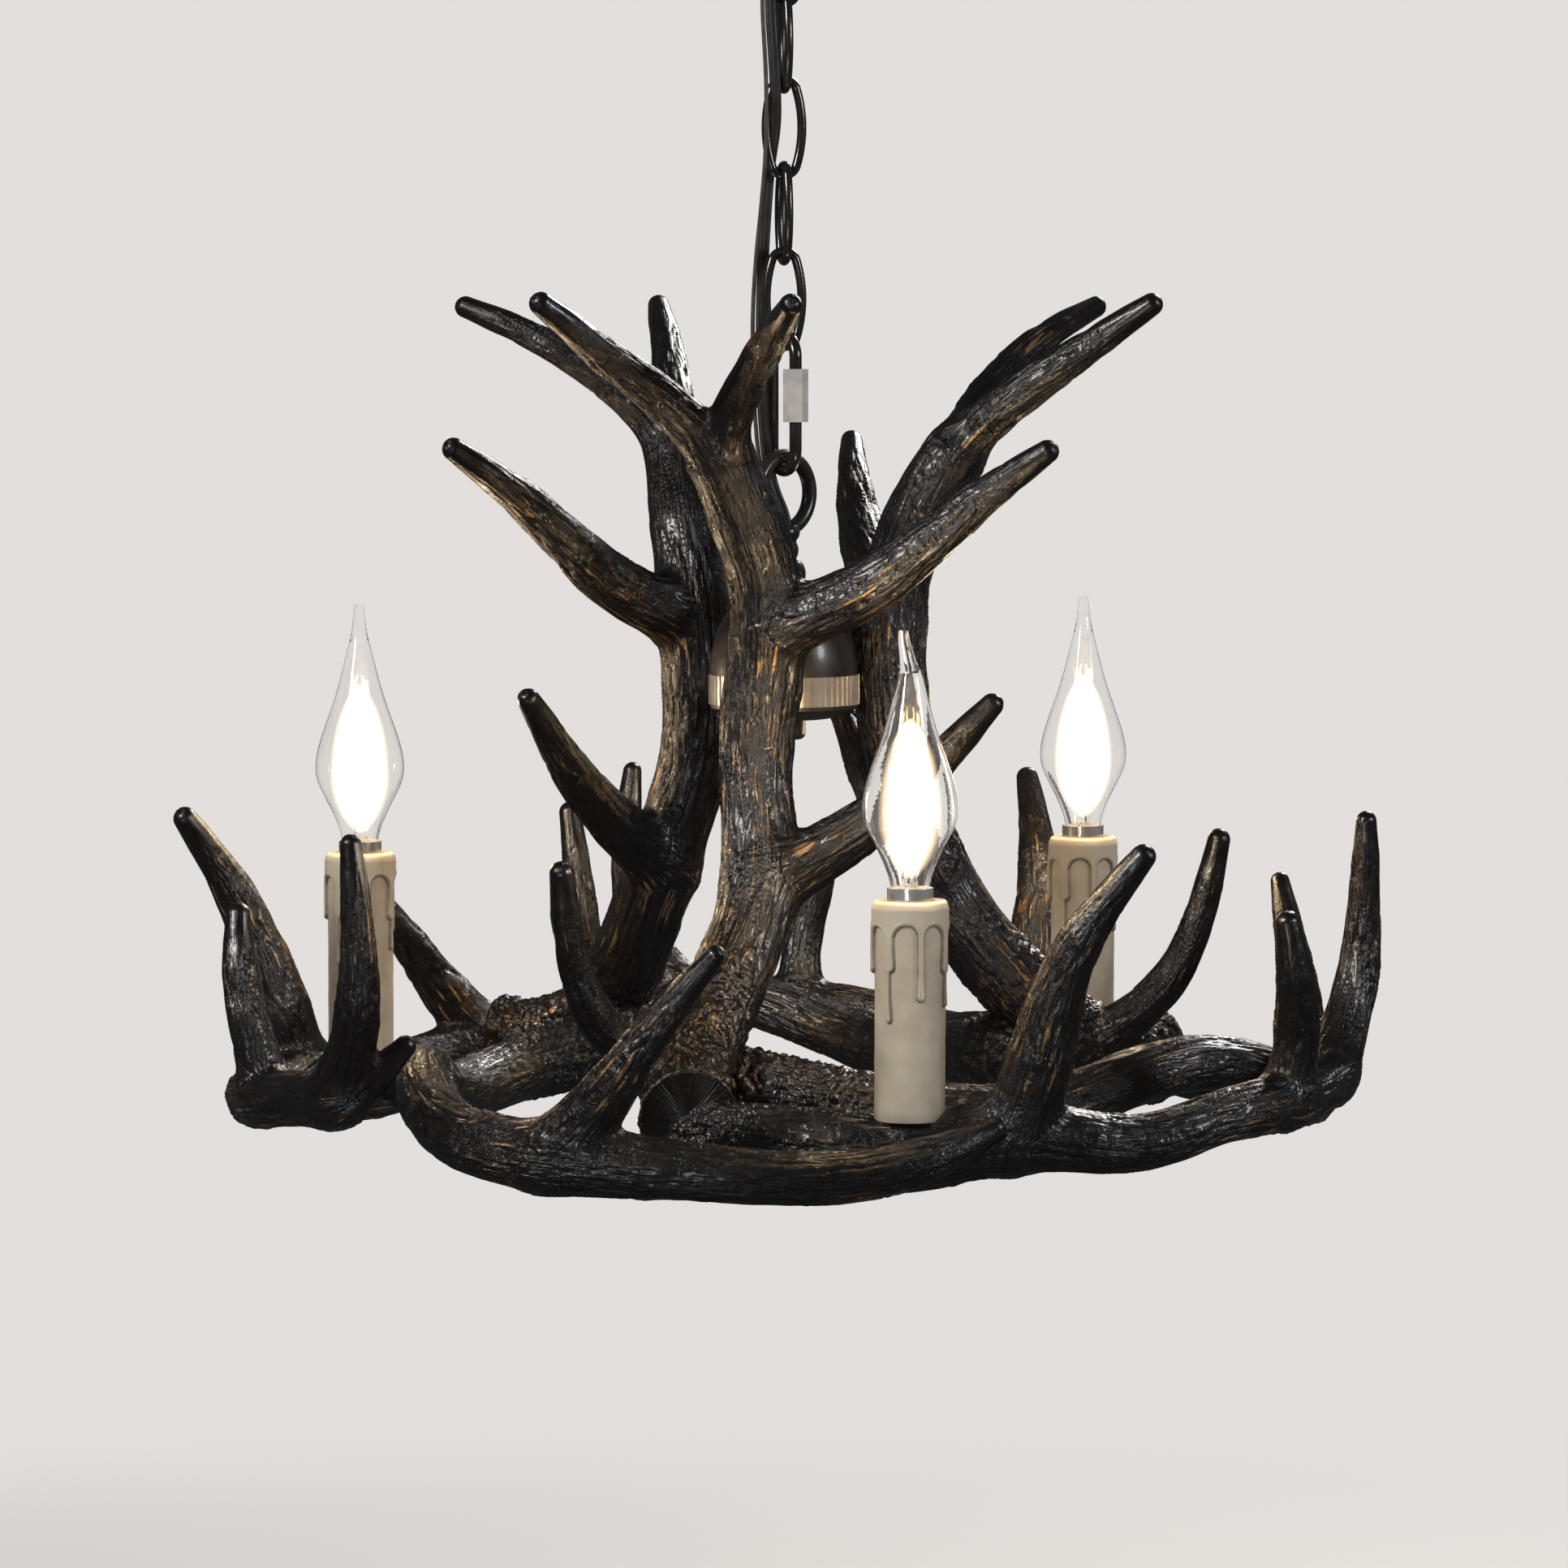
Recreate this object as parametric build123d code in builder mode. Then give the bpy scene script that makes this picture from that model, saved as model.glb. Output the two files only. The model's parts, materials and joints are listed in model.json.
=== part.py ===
# Antler chandelier with three candle lamps, hung on a chain from a ceiling canopy.
# Millimetres, +Z up.  The origin is the centre of the ceiling mount, in the ceiling's plane.
# Angles about Z are counted from the front (-Y) towards the right (+X).
# The nine castings come from three moulds, each used three times, a third of a turn apart.

import os
from math import asin, cos, pi, radians, sin, tan

from build123d import *

# ------------------------------------------------------------------ driving dimensions

thirds = [0, 1, 2]
third_turn = 120.0

# threaded tube, the same at the ceiling, in the hub and under each candle
tube_diameter = 10.0
tube_bore = 7.0
tube_gap = 0.1
nut_across_flats = 14.0
nut_thickness = 3.0
fit_gap = 0.1
seat_gap = 0.3

# ceiling bracket
bracket_length = 104.0
bracket_width = 22.0
bracket_thickness = 2.5
slot_spacing = 70.0
slot_length = 16.0
slot_width = 5.0
earth_screw_offset = 17.0
earth_screw_shank = 3.9
earth_screw_head = 7.0
earth_screw_head_height = 2.4

# canopy, its collar and the ceiling loop
canopy_diameter = 120.0
canopy_rim_height = 6.0
canopy_height = 24.0
canopy_flat_diameter = 52.0
canopy_wall = 1.2
canopy_gap = 0.3
collar_diameter = 37.0
collar_height = 8.0
loop_thread_diameter = 27.6
loop_thread_rise = 6.0
loop_neck_drop = 1.0
loop_diameter = 27.0
loop_wire = 5.0
loop_sink = 0.55
loop_bore = 7.6
ceiling_tube_length = 27.0

# chain: ovals of four arcs, turned a quarter turn from one link to the next
link_count = 5
link_wire = 3.6
link_length = 40.7
link_width = 18.0
link_end_radius = 5.2
chain_yaw = 15.0
hang_gap = 0.2

# screw link with its sleeve nut
quick_wire = 4.8
quick_length = 57.5
quick_spacing = 17.0
quick_yaw = -58.0
quick_opening = 8.0
quick_opening_drop = 2.0
sleeve_nut_flats = 8.5
sleeve_nut_length = 20.6
sleeve_nut_drop = 4.6
sleeve_nut_gap = 0.08

# hub, from the eye down to the dish
eye_diameter = 34.5
eye_wire = 5.8
eye_yaw = 46.0
eye_sink = 2.0
neck_bore = 7.2
top_bead_diameter = 12.4
middle_bead_diameter = 11.4
waist_diameter = 9.8
neck_bead_height = 6.0
neck_foot_diameter = 17.0
neck_foot_height = 9.0
neck_groove_height = 1.0
neck_foot_rounding = 2.0
neck_foot_draft = 1.0
dome_top_diameter = 20.0
dome_inset = 0.5
dome_top_slope = 0.6
dome_height = 35.5
dome_wall = 1.5
band_diameter = 59.0
band_height = 11.5
band_wall = 3.0
band_rib_count = 60
band_rib_depth = 0.6
band_rib_width = 1.6
web_thickness = 2.5
dish_depth = 6.0
dish_wall = 1.5
dish_flat_diameter = 24.0
dish_rise = 1.2
hub_tube_drop = 6.0
cap_nut_diameter = 17.0
cap_nut_height = 8.0
cap_nut_rounding = 2.5
wire_slot_width = 5.0
wire_slot_height = 12.0
wire_slot_drop = 10.0
wire_nut_diameter = 9.0
wire_nut_length = 18.0
wire_nut_circle = 15.0
wire_nut_angle = 30.0
wire_nut_bore = 6.0
hub_tube_gap = 1.5
dish_knee = 0.75

# screws from the band into the three trunks
trunk_angle = -11.0
hub_screw_shank = 4.0
hub_screw_length = 15.0
hub_screw_head = 7.0
hub_screw_head_height = 2.2
hub_screw_seat = 0.4
screw_head_rounding = 0.6

# ring of antlers: its datum lies this far below the middle of the band
ring_drop = 160.75
cope_gap = 0.2
stem_step = 22.0
fewest_stations = 5
stem_side_guide = (0.3, 0.2, 1)
tip_swell = 1.03

# steel pins between the castings
pin_diameter = 5.0
pin_length = 26.0

# candles
candle_radius = 175.0
candle_angle = 15.3
seat_height = 12.0
seat_diameter = 27.0
seat_cut_height = 8.0
candle_sleeve_diameter = 26.0
candle_sleeve_wall = 1.2
candle_sleeve_height = 81.0
candle_lip = 3.0
candle_lip_bore = 18.6
candle_nut_depth = 16.0
candle_nut_pocket = 19.0
candle_tube_length = 29.0
candle_tube_rise = 8.0

# lampholders and lamps
holder_diameter = 22.4
holder_foot_height = 4.0
holder_foot_diameter = 23.2
socket_depth = 24.0
lamp_thread = 13.8
lamp_thread_length = 20.0
lamp_contact_diameter = 6.0
lamp_contact_height = 3.0
lamp_skirt_diameter = 17.0
lamp_skirt_height = 7.5
lamp_cup_depth = 3.5
glass_neck_diameter = 14.4
glass_diameter = 34.7
glass_wall = 0.9
glass_height = 97.5
glass_belly_height = 29.5
glass_shoulder_height = 60.0
glass_shoulder_diameter = 20.2
glass_tail_height = 82.0
glass_tail_diameter = 8.4
glass_tip_diameter = 3.6
glass_neck_height = 4.0
glass_neck_slope = 0.2
glass_tip_slope = 0.1
glass_inner_slope = 0.3
filament_count = 4
filament_diameter = 1.4
filament_length = 34.0
filament_circle = 9.0
filament_stem_height = 16.0
filament_stem_diameter = 6.0
filament_disc_height = 1.6
filament_disc_diameter = 11.6

# cord
cord_diameter = 3.4
earth_diameter = 1.7
cord_arc_share = 0.45

# ------------------------------------------------------------------ places worked out from them

link_end = link_length / 2 - link_wire / 2
link_half = link_width / 2 - link_wire / 2
link_drop = link_length - 2 * link_wire - hang_gap

canopy_bottom_z = -canopy_gap - canopy_height
collar_bottom_z = canopy_bottom_z - collar_height
loop_neck_z = collar_bottom_z - loop_neck_drop
loop_radius = loop_diameter / 2 - loop_wire / 2
loop_z = loop_neck_z - loop_radius + loop_sink
loop_wire_z = loop_z - loop_radius

first_link_z = loop_wire_z + loop_wire / 2 + hang_gap + link_wire / 2 - link_end
link_wire_z = [first_link_z - number * link_drop - link_end for number in range(link_count)]

quick_end = quick_length / 2 - quick_wire / 2
quick_z = link_wire_z[-1] + link_wire / 2 + hang_gap + quick_wire / 2 - quick_end
quick_wire_z = quick_z - quick_end
sleeve_nut_z = quick_z + quick_end - quick_spacing / 2 - sleeve_nut_drop

eye_radius = eye_diameter / 2 - eye_wire / 2
eye_z = quick_wire_z + quick_wire / 2 + hang_gap + eye_wire / 2 - eye_radius
neck_top_z = eye_z - eye_radius + eye_sink
neck_bottom_z = neck_top_z - 2 * neck_bead_height - 2 * neck_groove_height - neck_foot_height
band_top_z = neck_bottom_z - dome_height
band_bottom_z = band_top_z - band_height
dish_bottom_z = band_bottom_z - dish_depth
ring_z = (band_top_z + band_bottom_z) / 2 - ring_drop


def spot(distance, angle, height):
    """A place in the ring: distance from the axis, angle from the front, height over the datum."""
    return Vector(distance * sin(radians(angle)), -distance * cos(radians(angle)), ring_z + height)


def upright_plane(yaw, height):
    """A standing plane through the axis: X runs along the yaw direction, Y runs up."""
    along = (cos(radians(yaw)), sin(radians(yaw)), 0)
    return Plane((0, 0, height), x_dir=along, z_dir=(along[1], -along[0], 0))


def keep(piece, name):
    """Labels a finished piece and writes it."""
    piece.label = name
    export_step(piece, f"parts/{name}.step")


def tube(plane, outer, bore, length):
    """A straight tube that stands on the plane."""
    with BuildPart() as piece:
        with BuildSketch(plane):
            Circle(outer / 2)
            Circle(bore / 2, mode=Mode.SUBTRACT)
        extrude(amount=length)
    return piece.part


def nut(plane, across_flats, bore, thickness):
    """A hexagon nut that stands on the plane."""
    with BuildPart() as piece:
        with BuildSketch(plane):
            RegularPolygon(across_flats / 2, 6, major_radius=False)
            Circle(bore / 2, mode=Mode.SUBTRACT)
        extrude(amount=thickness)
    return piece.part


def screw(plane, shank, length, head, head_height):
    """A pan head screw: its head starts at the plane and its shank runs against the plane's normal."""
    with BuildPart() as piece:
        with BuildSketch(plane):
            Circle(head / 2)
        extrude(amount=head_height)
        fillet(piece.faces().sort_by(Axis(plane.origin, plane.z_dir))[-1].edges(), head_height * screw_head_rounding)
        with BuildSketch(plane):
            Circle(shank / 2)
        extrude(amount=-length)
    return piece.part


os.makedirs("parts", exist_ok=True)

# ------------------------------------------------------------------ ceiling parts

with BuildPart() as ceiling_bracket:
    with BuildSketch(Plane.XY.offset(-bracket_thickness)):
        SlotOverall(bracket_length, bracket_width)
        with Locations((-slot_spacing / 2, 0), (slot_spacing / 2, 0)):
            SlotOverall(slot_length, slot_width, mode=Mode.SUBTRACT)
        Circle(tube_diameter / 2 + tube_gap, mode=Mode.SUBTRACT)
        with Locations((earth_screw_offset, 0)):
            Circle(earth_screw_shank / 2 + fit_gap, mode=Mode.SUBTRACT)
    extrude(amount=bracket_thickness)
keep(ceiling_bracket.part, "ceiling_bracket")

with BuildPart() as canopy_tube:
    add(tube(Plane.XY.offset(-ceiling_tube_length), tube_diameter, tube_bore, ceiling_tube_length))
keep(canopy_tube.part, "canopy_tube")

with BuildPart() as canopy_nut:
    under_bracket = Plane.XY.offset(-bracket_thickness - nut_thickness)
    add(nut(under_bracket, nut_across_flats, tube_diameter + 2 * tube_gap, nut_thickness))
keep(canopy_nut.part, "canopy_nut")

with BuildPart() as earth_screw:
    under_hole = Plane((earth_screw_offset, 0, -bracket_thickness), z_dir=(0, 0, -1))
    add(screw(under_hole, earth_screw_shank, bracket_thickness, earth_screw_head, earth_screw_head_height))
keep(earth_screw.part, "earth_screw")


def canopy_outline(inset):
    """Half section of the canopy: a short rim, then a bowl down to a flat."""
    rim = canopy_diameter / 2 - inset
    flat = canopy_flat_diameter / 2
    low = canopy_bottom_z + inset
    knee = -canopy_gap - canopy_rim_height
    with BuildLine() as line:
        Polyline((flat, low), (0, low), (0, -canopy_gap), (rim, -canopy_gap), (rim, knee))
        Spline((rim, knee), (flat, low), tangents=[(0, -1), (-1, 0)])
    return line.line


with BuildPart() as canopy_dome:
    with BuildSketch(Plane.XZ):
        with BuildLine():
            add(canopy_outline(0))
        make_face()
        with BuildLine():
            add(canopy_outline(canopy_wall))
        make_face(mode=Mode.SUBTRACT)
    revolve(axis=Axis.Z)
    with BuildSketch(Plane.XY.offset(canopy_bottom_z)):
        Circle(loop_thread_diameter / 2 + seat_gap)
    extrude(amount=canopy_height / 2, mode=Mode.SUBTRACT)
keep(canopy_dome.part, "canopy_dome")

with BuildPart() as collar_ring:
    add(tube(Plane.XY.offset(collar_bottom_z), collar_diameter, loop_thread_diameter + 2 * fit_gap, collar_height))
    chamfer(collar_ring.faces().sort_by(Axis.Z)[0].edges().sort_by(SortBy.RADIUS)[-1], collar_height / 4)
keep(collar_ring.part, "collar_ring")

with BuildPart() as canopy_loop:
    with BuildSketch(Plane.XY.offset(loop_neck_z)):
        Circle(loop_thread_diameter / 2)
    extrude(amount=canopy_bottom_z + loop_thread_rise - loop_neck_z)
    with Locations(upright_plane(chain_yaw + 90, loop_z)):
        Torus(loop_radius, loop_wire / 2)
    with BuildSketch(Plane.XY.offset(loop_neck_z)):
        Circle(loop_bore / 2)
    extrude(amount=canopy_height, both=True, mode=Mode.SUBTRACT)
    with BuildSketch(Plane.XY.offset(-ceiling_tube_length)):
        Circle(tube_diameter / 2 + tube_gap)
    extrude(amount=ceiling_tube_length, mode=Mode.SUBTRACT)
keep(canopy_loop.part, "canopy_loop")

# ------------------------------------------------------------------ chain and screw link


def oval(plane, half_length, half_width, end_radius):
    """The centre line of a chain link: two end arcs and two long side arcs, all tangent."""
    reach = half_length - end_radius
    side_radius = (reach**2 + half_width**2 - end_radius**2) / (2 * (half_width - end_radius))
    lean = asin(reach / (side_radius - end_radius))
    meet_x = half_width - side_radius + side_radius * cos(lean)
    meet_y = side_radius * sin(lean)
    with BuildLine(plane) as line:
        ThreePointArc((meet_x, -meet_y), (half_width, 0), (meet_x, meet_y))
        ThreePointArc((meet_x, meet_y), (0, half_length), (-meet_x, meet_y))
        ThreePointArc((-meet_x, meet_y), (-half_width, 0), (-meet_x, -meet_y))
        ThreePointArc((-meet_x, -meet_y), (0, -half_length), (meet_x, -meet_y))
    return line.line


for number in range(link_count):
    link_plane = upright_plane(chain_yaw + 90 * (number % 2), first_link_z - number * link_drop)
    with BuildPart() as chain_link:
        with BuildLine() as link_line:
            add(oval(link_plane, link_end, link_half, link_end_radius))
        with BuildSketch(Plane(link_line.line @ 0, z_dir=link_line.line % 0)):
            Circle(link_wire / 2)
        sweep()
    keep(chain_link.part, f"chain_link_{number + 1}")

quick_plane = upright_plane(quick_yaw, quick_z)
quick_side = quick_spacing / 2
quick_straight = quick_end - quick_side
opening_top = sleeve_nut_z - quick_z - quick_opening_drop
opening_bottom = opening_top - quick_opening

with BuildPart() as quick_link_body:
    with BuildLine(quick_plane) as quick_line:
        Line((quick_side, opening_top), (quick_side, quick_straight))
        ThreePointArc((quick_side, quick_straight), (0, quick_end), (-quick_side, quick_straight))
        Line((-quick_side, quick_straight), (-quick_side, -quick_straight))
        ThreePointArc((-quick_side, -quick_straight), (0, -quick_end), (quick_side, -quick_straight))
        Line((quick_side, -quick_straight), (quick_side, opening_bottom))
    with BuildSketch(Plane(quick_line.line @ 0, z_dir=quick_line.line % 0)):
        Circle(quick_wire / 2)
    sweep()
keep(quick_link_body.part, "quick_link_body")

with BuildPart() as quick_link_sleeve:
    nut_origin = quick_plane.from_local_coords(Vector(quick_side, sleeve_nut_z - quick_z, 0))
    nut_plane = Plane(nut_origin, x_dir=quick_plane.x_dir, z_dir=(0, 0, -1))
    add(nut(nut_plane, sleeve_nut_flats, quick_wire + 2 * sleeve_nut_gap, sleeve_nut_length))
keep(quick_link_sleeve.part, "quick_link_sleeve")

# ------------------------------------------------------------------ hub

neck_foot_z = neck_bottom_z + neck_foot_height
hub_tube_top_z = neck_bottom_z + neck_foot_height - hub_tube_gap
hub_tube_bottom_z = dish_bottom_z - hub_tube_drop

with BuildPart() as hub_eye:
    with Locations(upright_plane(eye_yaw, eye_z)):
        Torus(eye_radius, eye_wire / 2)
    with BuildSketch(Plane.XZ):
        with BuildLine():
            top_bead = neck_top_z - neck_bead_height
            middle_bead = top_bead - neck_groove_height - neck_bead_height
            Line((0, neck_top_z), (waist_diameter / 2, neck_top_z))
            ThreePointArc(
                (waist_diameter / 2, neck_top_z),
                (top_bead_diameter / 2, neck_top_z - neck_bead_height / 2),
                (waist_diameter / 2, top_bead),
            )
            Line((waist_diameter / 2, top_bead), (waist_diameter / 2, top_bead - 1))
            ThreePointArc(
                (waist_diameter / 2, top_bead - 1),
                (middle_bead_diameter / 2, top_bead - neck_groove_height - neck_bead_height / 2),
                (waist_diameter / 2, middle_bead),
            )
            Line((waist_diameter / 2, middle_bead), (waist_diameter / 2, neck_foot_z))
            Line((waist_diameter / 2, neck_foot_z), (neck_foot_diameter / 2 - neck_foot_rounding, neck_foot_z))
            ThreePointArc(
                (neck_foot_diameter / 2 - neck_foot_rounding, neck_foot_z),
                (neck_foot_diameter / 2, neck_foot_z - neck_foot_height / 2),
                (neck_foot_diameter / 2 - neck_foot_draft, neck_bottom_z),
            )
            Line((neck_foot_diameter / 2 - neck_foot_draft, neck_bottom_z), (0, neck_bottom_z))
            Line((0, neck_bottom_z), (0, neck_top_z))
        make_face()
    revolve(axis=Axis.Z)
    with BuildSketch(Plane.XY.offset(neck_bottom_z)):
        Circle(neck_bore / 2)
    extrude(amount=eye_z - neck_bottom_z, mode=Mode.SUBTRACT)
    with BuildSketch(Plane.XY.offset(neck_bottom_z)):
        Circle(tube_diameter / 2 + tube_gap)
    extrude(amount=hub_tube_top_z + seat_gap - neck_bottom_z, mode=Mode.SUBTRACT)
keep(hub_eye.part, "hub_eye")

with BuildPart() as hub_tube:
    add(tube(Plane.XY.offset(hub_tube_bottom_z), tube_diameter, tube_bore, hub_tube_top_z - hub_tube_bottom_z))
    slot_plane = Plane((0, 0, neck_bottom_z - wire_slot_drop), x_dir=(0, 1, 0), z_dir=(1, 0, 0))
    with BuildSketch(slot_plane):
        SlotOverall(wire_slot_height, wire_slot_width, rotation=90)
    extrude(amount=tube_diameter, mode=Mode.SUBTRACT)
keep(hub_tube.part, "hub_tube")


def dome_outline(inset):
    """Half section of the dome: a small flat top that swells down to the band."""
    top = neck_bottom_z - inset
    rim = band_diameter / 2 - dome_inset - inset
    flat = dome_top_diameter / 2 - inset / 2
    with BuildLine() as line:
        Polyline((flat, top), (0, top), (0, band_top_z), (rim, band_top_z))
        Spline((rim, band_top_z), (flat, top), tangents=[(0, 1), (-1, dome_top_slope)])
    return line.line


with BuildPart() as hub_dome:
    with BuildSketch(Plane.XZ):
        with BuildLine():
            add(dome_outline(0))
        make_face()
        with BuildLine():
            add(dome_outline(dome_wall))
        make_face(mode=Mode.SUBTRACT)
    revolve(axis=Axis.Z)
    with BuildSketch(Plane.XY.offset(neck_bottom_z)):
        Circle(tube_diameter / 2 + tube_gap)
    extrude(amount=-2 * dome_wall, mode=Mode.SUBTRACT)
keep(hub_dome.part, "hub_dome")

with BuildPart() as hub_band:
    with BuildSketch(Plane.XY.offset(band_bottom_z)):
        Circle(band_diameter / 2 - band_rib_depth)
        with PolarLocations(band_diameter / 2 - band_rib_depth, band_rib_count):
            Rectangle(2 * band_rib_depth, band_rib_width)
        Circle(band_diameter / 2 - band_wall, mode=Mode.SUBTRACT)
    extrude(amount=band_height)
    with BuildSketch(Plane.XY.offset(band_top_z - web_thickness)):
        Circle(band_diameter / 2 - band_wall)
        Circle(tube_diameter / 2 + tube_gap, mode=Mode.SUBTRACT)
    extrude(amount=web_thickness)
    for number in thirds:
        toward = trunk_angle + third_turn * number
        out = Vector(sin(radians(toward)), -cos(radians(toward)), 0)
        hole_plane = Plane((0, 0, (band_top_z - web_thickness + band_bottom_z) / 2), z_dir=out)
        with BuildSketch(hole_plane):
            Circle(hub_screw_shank / 2 + fit_gap)
        extrude(amount=band_diameter, mode=Mode.SUBTRACT)
keep(hub_band.part, "hub_band")

with BuildPart() as hub_dish:
    with BuildSketch(Plane.XZ):
        with BuildLine():
            dish_rim = band_diameter / 2 - band_rib_depth
            Line((0, band_bottom_z), (dish_rim, band_bottom_z))
            Line((dish_rim, band_bottom_z), (dish_rim, band_bottom_z - dish_wall))
            ThreePointArc(
                (dish_rim, band_bottom_z - dish_wall),
                (dish_rim * dish_knee, dish_bottom_z + dish_rise),
                (dish_flat_diameter / 2, dish_bottom_z),
            )
            Polyline((dish_flat_diameter / 2, dish_bottom_z), (0, dish_bottom_z), (0, band_bottom_z))
        make_face()
        with BuildLine():
            hollow_rim = dish_rim - 2 * dish_wall
            dish_hollow_z = dish_bottom_z + dish_wall
            Line((0, band_bottom_z), (hollow_rim, band_bottom_z))
            ThreePointArc(
                (hollow_rim, band_bottom_z),
                (hollow_rim * dish_knee, dish_hollow_z + dish_rise),
                (dish_flat_diameter / 2, dish_hollow_z),
            )
            Polyline((dish_flat_diameter / 2, dish_hollow_z), (0, dish_hollow_z), (0, band_bottom_z))
        make_face(mode=Mode.SUBTRACT)
    revolve(axis=Axis.Z)
    with BuildSketch(Plane.XY.offset(dish_bottom_z)):
        Circle(tube_diameter / 2 + tube_gap)
    extrude(amount=dish_depth, both=True, mode=Mode.SUBTRACT)
keep(hub_dish.part, "hub_dish")

with BuildPart() as hub_cap_nut:
    with BuildSketch(Plane.XY.offset(dish_bottom_z - cap_nut_height)):
        Circle(cap_nut_diameter / 2)
    extrude(amount=cap_nut_height)
    fillet(hub_cap_nut.faces().sort_by(Axis.Z)[0].edges(), cap_nut_rounding)
    with BuildSketch(Plane.XY.offset(hub_tube_bottom_z - fit_gap)):
        Circle(tube_diameter / 2 + tube_gap)
    extrude(amount=hub_tube_drop + cap_nut_height, mode=Mode.SUBTRACT)
keep(hub_cap_nut.part, "hub_cap_nut")

with BuildPart() as hub_web_nut:
    web_plane = Plane.XY.offset(band_top_z)
    add(nut(web_plane, nut_across_flats, tube_diameter + 2 * tube_gap, nut_thickness))
keep(hub_web_nut.part, "hub_web_nut")

hub_screw_z = (band_top_z - web_thickness + band_bottom_z) / 2
band_inside = band_diameter / 2 - band_wall
with BuildPart() as hub_screws:
    for number in thirds:
        toward = trunk_angle + third_turn * number
        inward = Vector(-sin(radians(toward)), cos(radians(toward)), 0)
        head_plane = Plane(Vector(0, 0, hub_screw_z) - inward * (band_inside - hub_screw_seat), z_dir=inward)
        add(screw(head_plane, hub_screw_shank, hub_screw_length, hub_screw_head, hub_screw_head_height))
keep(hub_screws.part, "hub_screws")

with BuildPart() as wire_nuts:
    for number in thirds:
        toward = wire_nut_angle + third_turn * number
        foot = Vector(sin(radians(toward)), -cos(radians(toward)), 0) * wire_nut_circle
        with BuildSketch(Plane(foot + Vector(0, 0, band_top_z))):
            Circle(wire_nut_diameter / 2)
        with BuildSketch(Plane(foot + Vector(0, 0, band_top_z + wire_nut_length))):
            Circle(wire_nut_bore / 2)
        loft()
keep(wire_nuts.part, "wire_nuts")

# ------------------------------------------------------------------ castings
# Each stem of a mould is a list of (distance from the axis, angle from the front,
# height over the ring's datum, radius), from its root to its tip.

band_radius = band_diameter / 2
upright_stems = [
    [  # trunk: sawn base, up the middle, to the fork
        (candle_radius - 19, -13, 10, 15.5),
        (candle_radius - 50, -17, 18, 15.5),
        (band_radius + 62.5, -16, 45, 15),
        (band_radius + 32.5, -9, 90, 14.5),
        (band_radius + 19, -13, 132, 14),
        (band_radius + 14.8, -11, 161, 15.2),
        (band_radius + 16.5, -8, 197, 14),
        (band_radius + 36.5, -20.5, 249, 11.5),
    ],
    [  # left crown tine
        (band_radius + 24.5, -14, 225, 10.5),
        (band_radius + 36.5, -20.5, 249, 9.5),
        (band_radius + 75.5, -34, 285, 7.5),
        (band_radius + 114.5, -39, 311, 4.5),
    ],
    [  # right crown tine
        (band_radius + 24.5, -14, 225, 10.5),
        (band_radius + 36.5, -19, 249, 9),
        (band_radius + 70.5, -6, 288, 7),
        (band_radius + 116.5, 1, 310, 4.5),
    ],
    [  # middle tine
        (band_radius + 16.5, -6, 186, 12.5),
        (band_radius + 40.5, 30, 205, 10.5),
        (band_radius + 70.5, 43, 232, 8),
        (band_radius + 104, 48, 255.4, 4.5),
    ],
    [  # lower tine
        (band_radius + 30.5, -9, 88, 12.5),
        (band_radius + 36.5, 18, 105, 10.5),
        (band_radius + 54.5, 38, 130, 8),
        (band_radius + 75, 49.4, 158.6, 4.5),
    ],
    [  # brow tine
        (candle_radius - 50, -19, 18, 9.5),
        (candle_radius - 37, -24, 30, 8.5),
        (candle_radius - 25, -27, 43, 7.5),
        (candle_radius - 4, -28.7, 101, 4.5),
    ],
]

ring_stems = [
    [  # beam: root against the trunk's base, under the candle, to the palm
        (candle_radius - 27, -14, 6, 10),
        (candle_radius - 15, 0, 4, 12),
        (candle_radius, 15.3, 0, 15),
        (candle_radius + 15, 27, 6, 13),
        (candle_radius + 30, 39, 2, 10.5),
        (candle_radius + 40, 48.5, 9, 10),
        (candle_radius + 47, 60, 13, 10.5),
        (candle_radius + 45, 72, 18, 10),
    ],
    [  # wide tine beside the candle
        (candle_radius + 15, 26, 4, 12),
        (candle_radius + 25, 28, 36, 12.5),
        (candle_radius + 37, 29.5, 72, 9),
        (candle_radius + 59, 33.8, 111, 4.5),
    ],
    [  # upright tine on the palm
        (candle_radius + 46, 58, 12, 9.5),
        (candle_radius + 52, 58, 38, 8),
        (candle_radius + 54, 56.5, 60, 7),
        (candle_radius + 53, 55.4, 81, 4.5),
    ],
    [  # far tine
        (candle_radius + 45, 70, 16, 9.5),
        (candle_radius + 51, 76, 48, 8.5),
        (candle_radius + 54, 77, 80, 6.5),
        (candle_radius + 55, 76.4, 113, 4),
    ],
    [  # short tine
        (candle_radius + 45, 71, 17, 9),
        (candle_radius + 39, 75, 26, 6.5),
        (candle_radius + 31, 77.2, 37, 4),
    ],
]

outer_stems = [
    [  # beam: root under a trunk, outwards, and round the front of the ring
        (87, -137, 15, 15.5),
        (105, -105, 9, 13),
        (135, -75, 6, 11.5),
        (candle_radius - 3, -52, 21, 10.5),
        (candle_radius + 25, -38, 7, 11.5),
        (candle_radius + 31, -22, 0, 13),
        (candle_radius + 29, -9, -3, 10.5),
        (candle_radius + 27, 6, -5, 9.5),
        (candle_radius + 24, 15, 0, 8.5),
        (candle_radius + 22.5, 22.8, 10, 5),
    ],
    [  # tine
        (candle_radius + 31, -25, 0, 12),
        (candle_radius + 36, -18, 24, 10),
        (candle_radius + 39, -13.8, 44, 7.5),
        (candle_radius + 45, -6.4, 77.5, 4),
    ],
]


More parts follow.
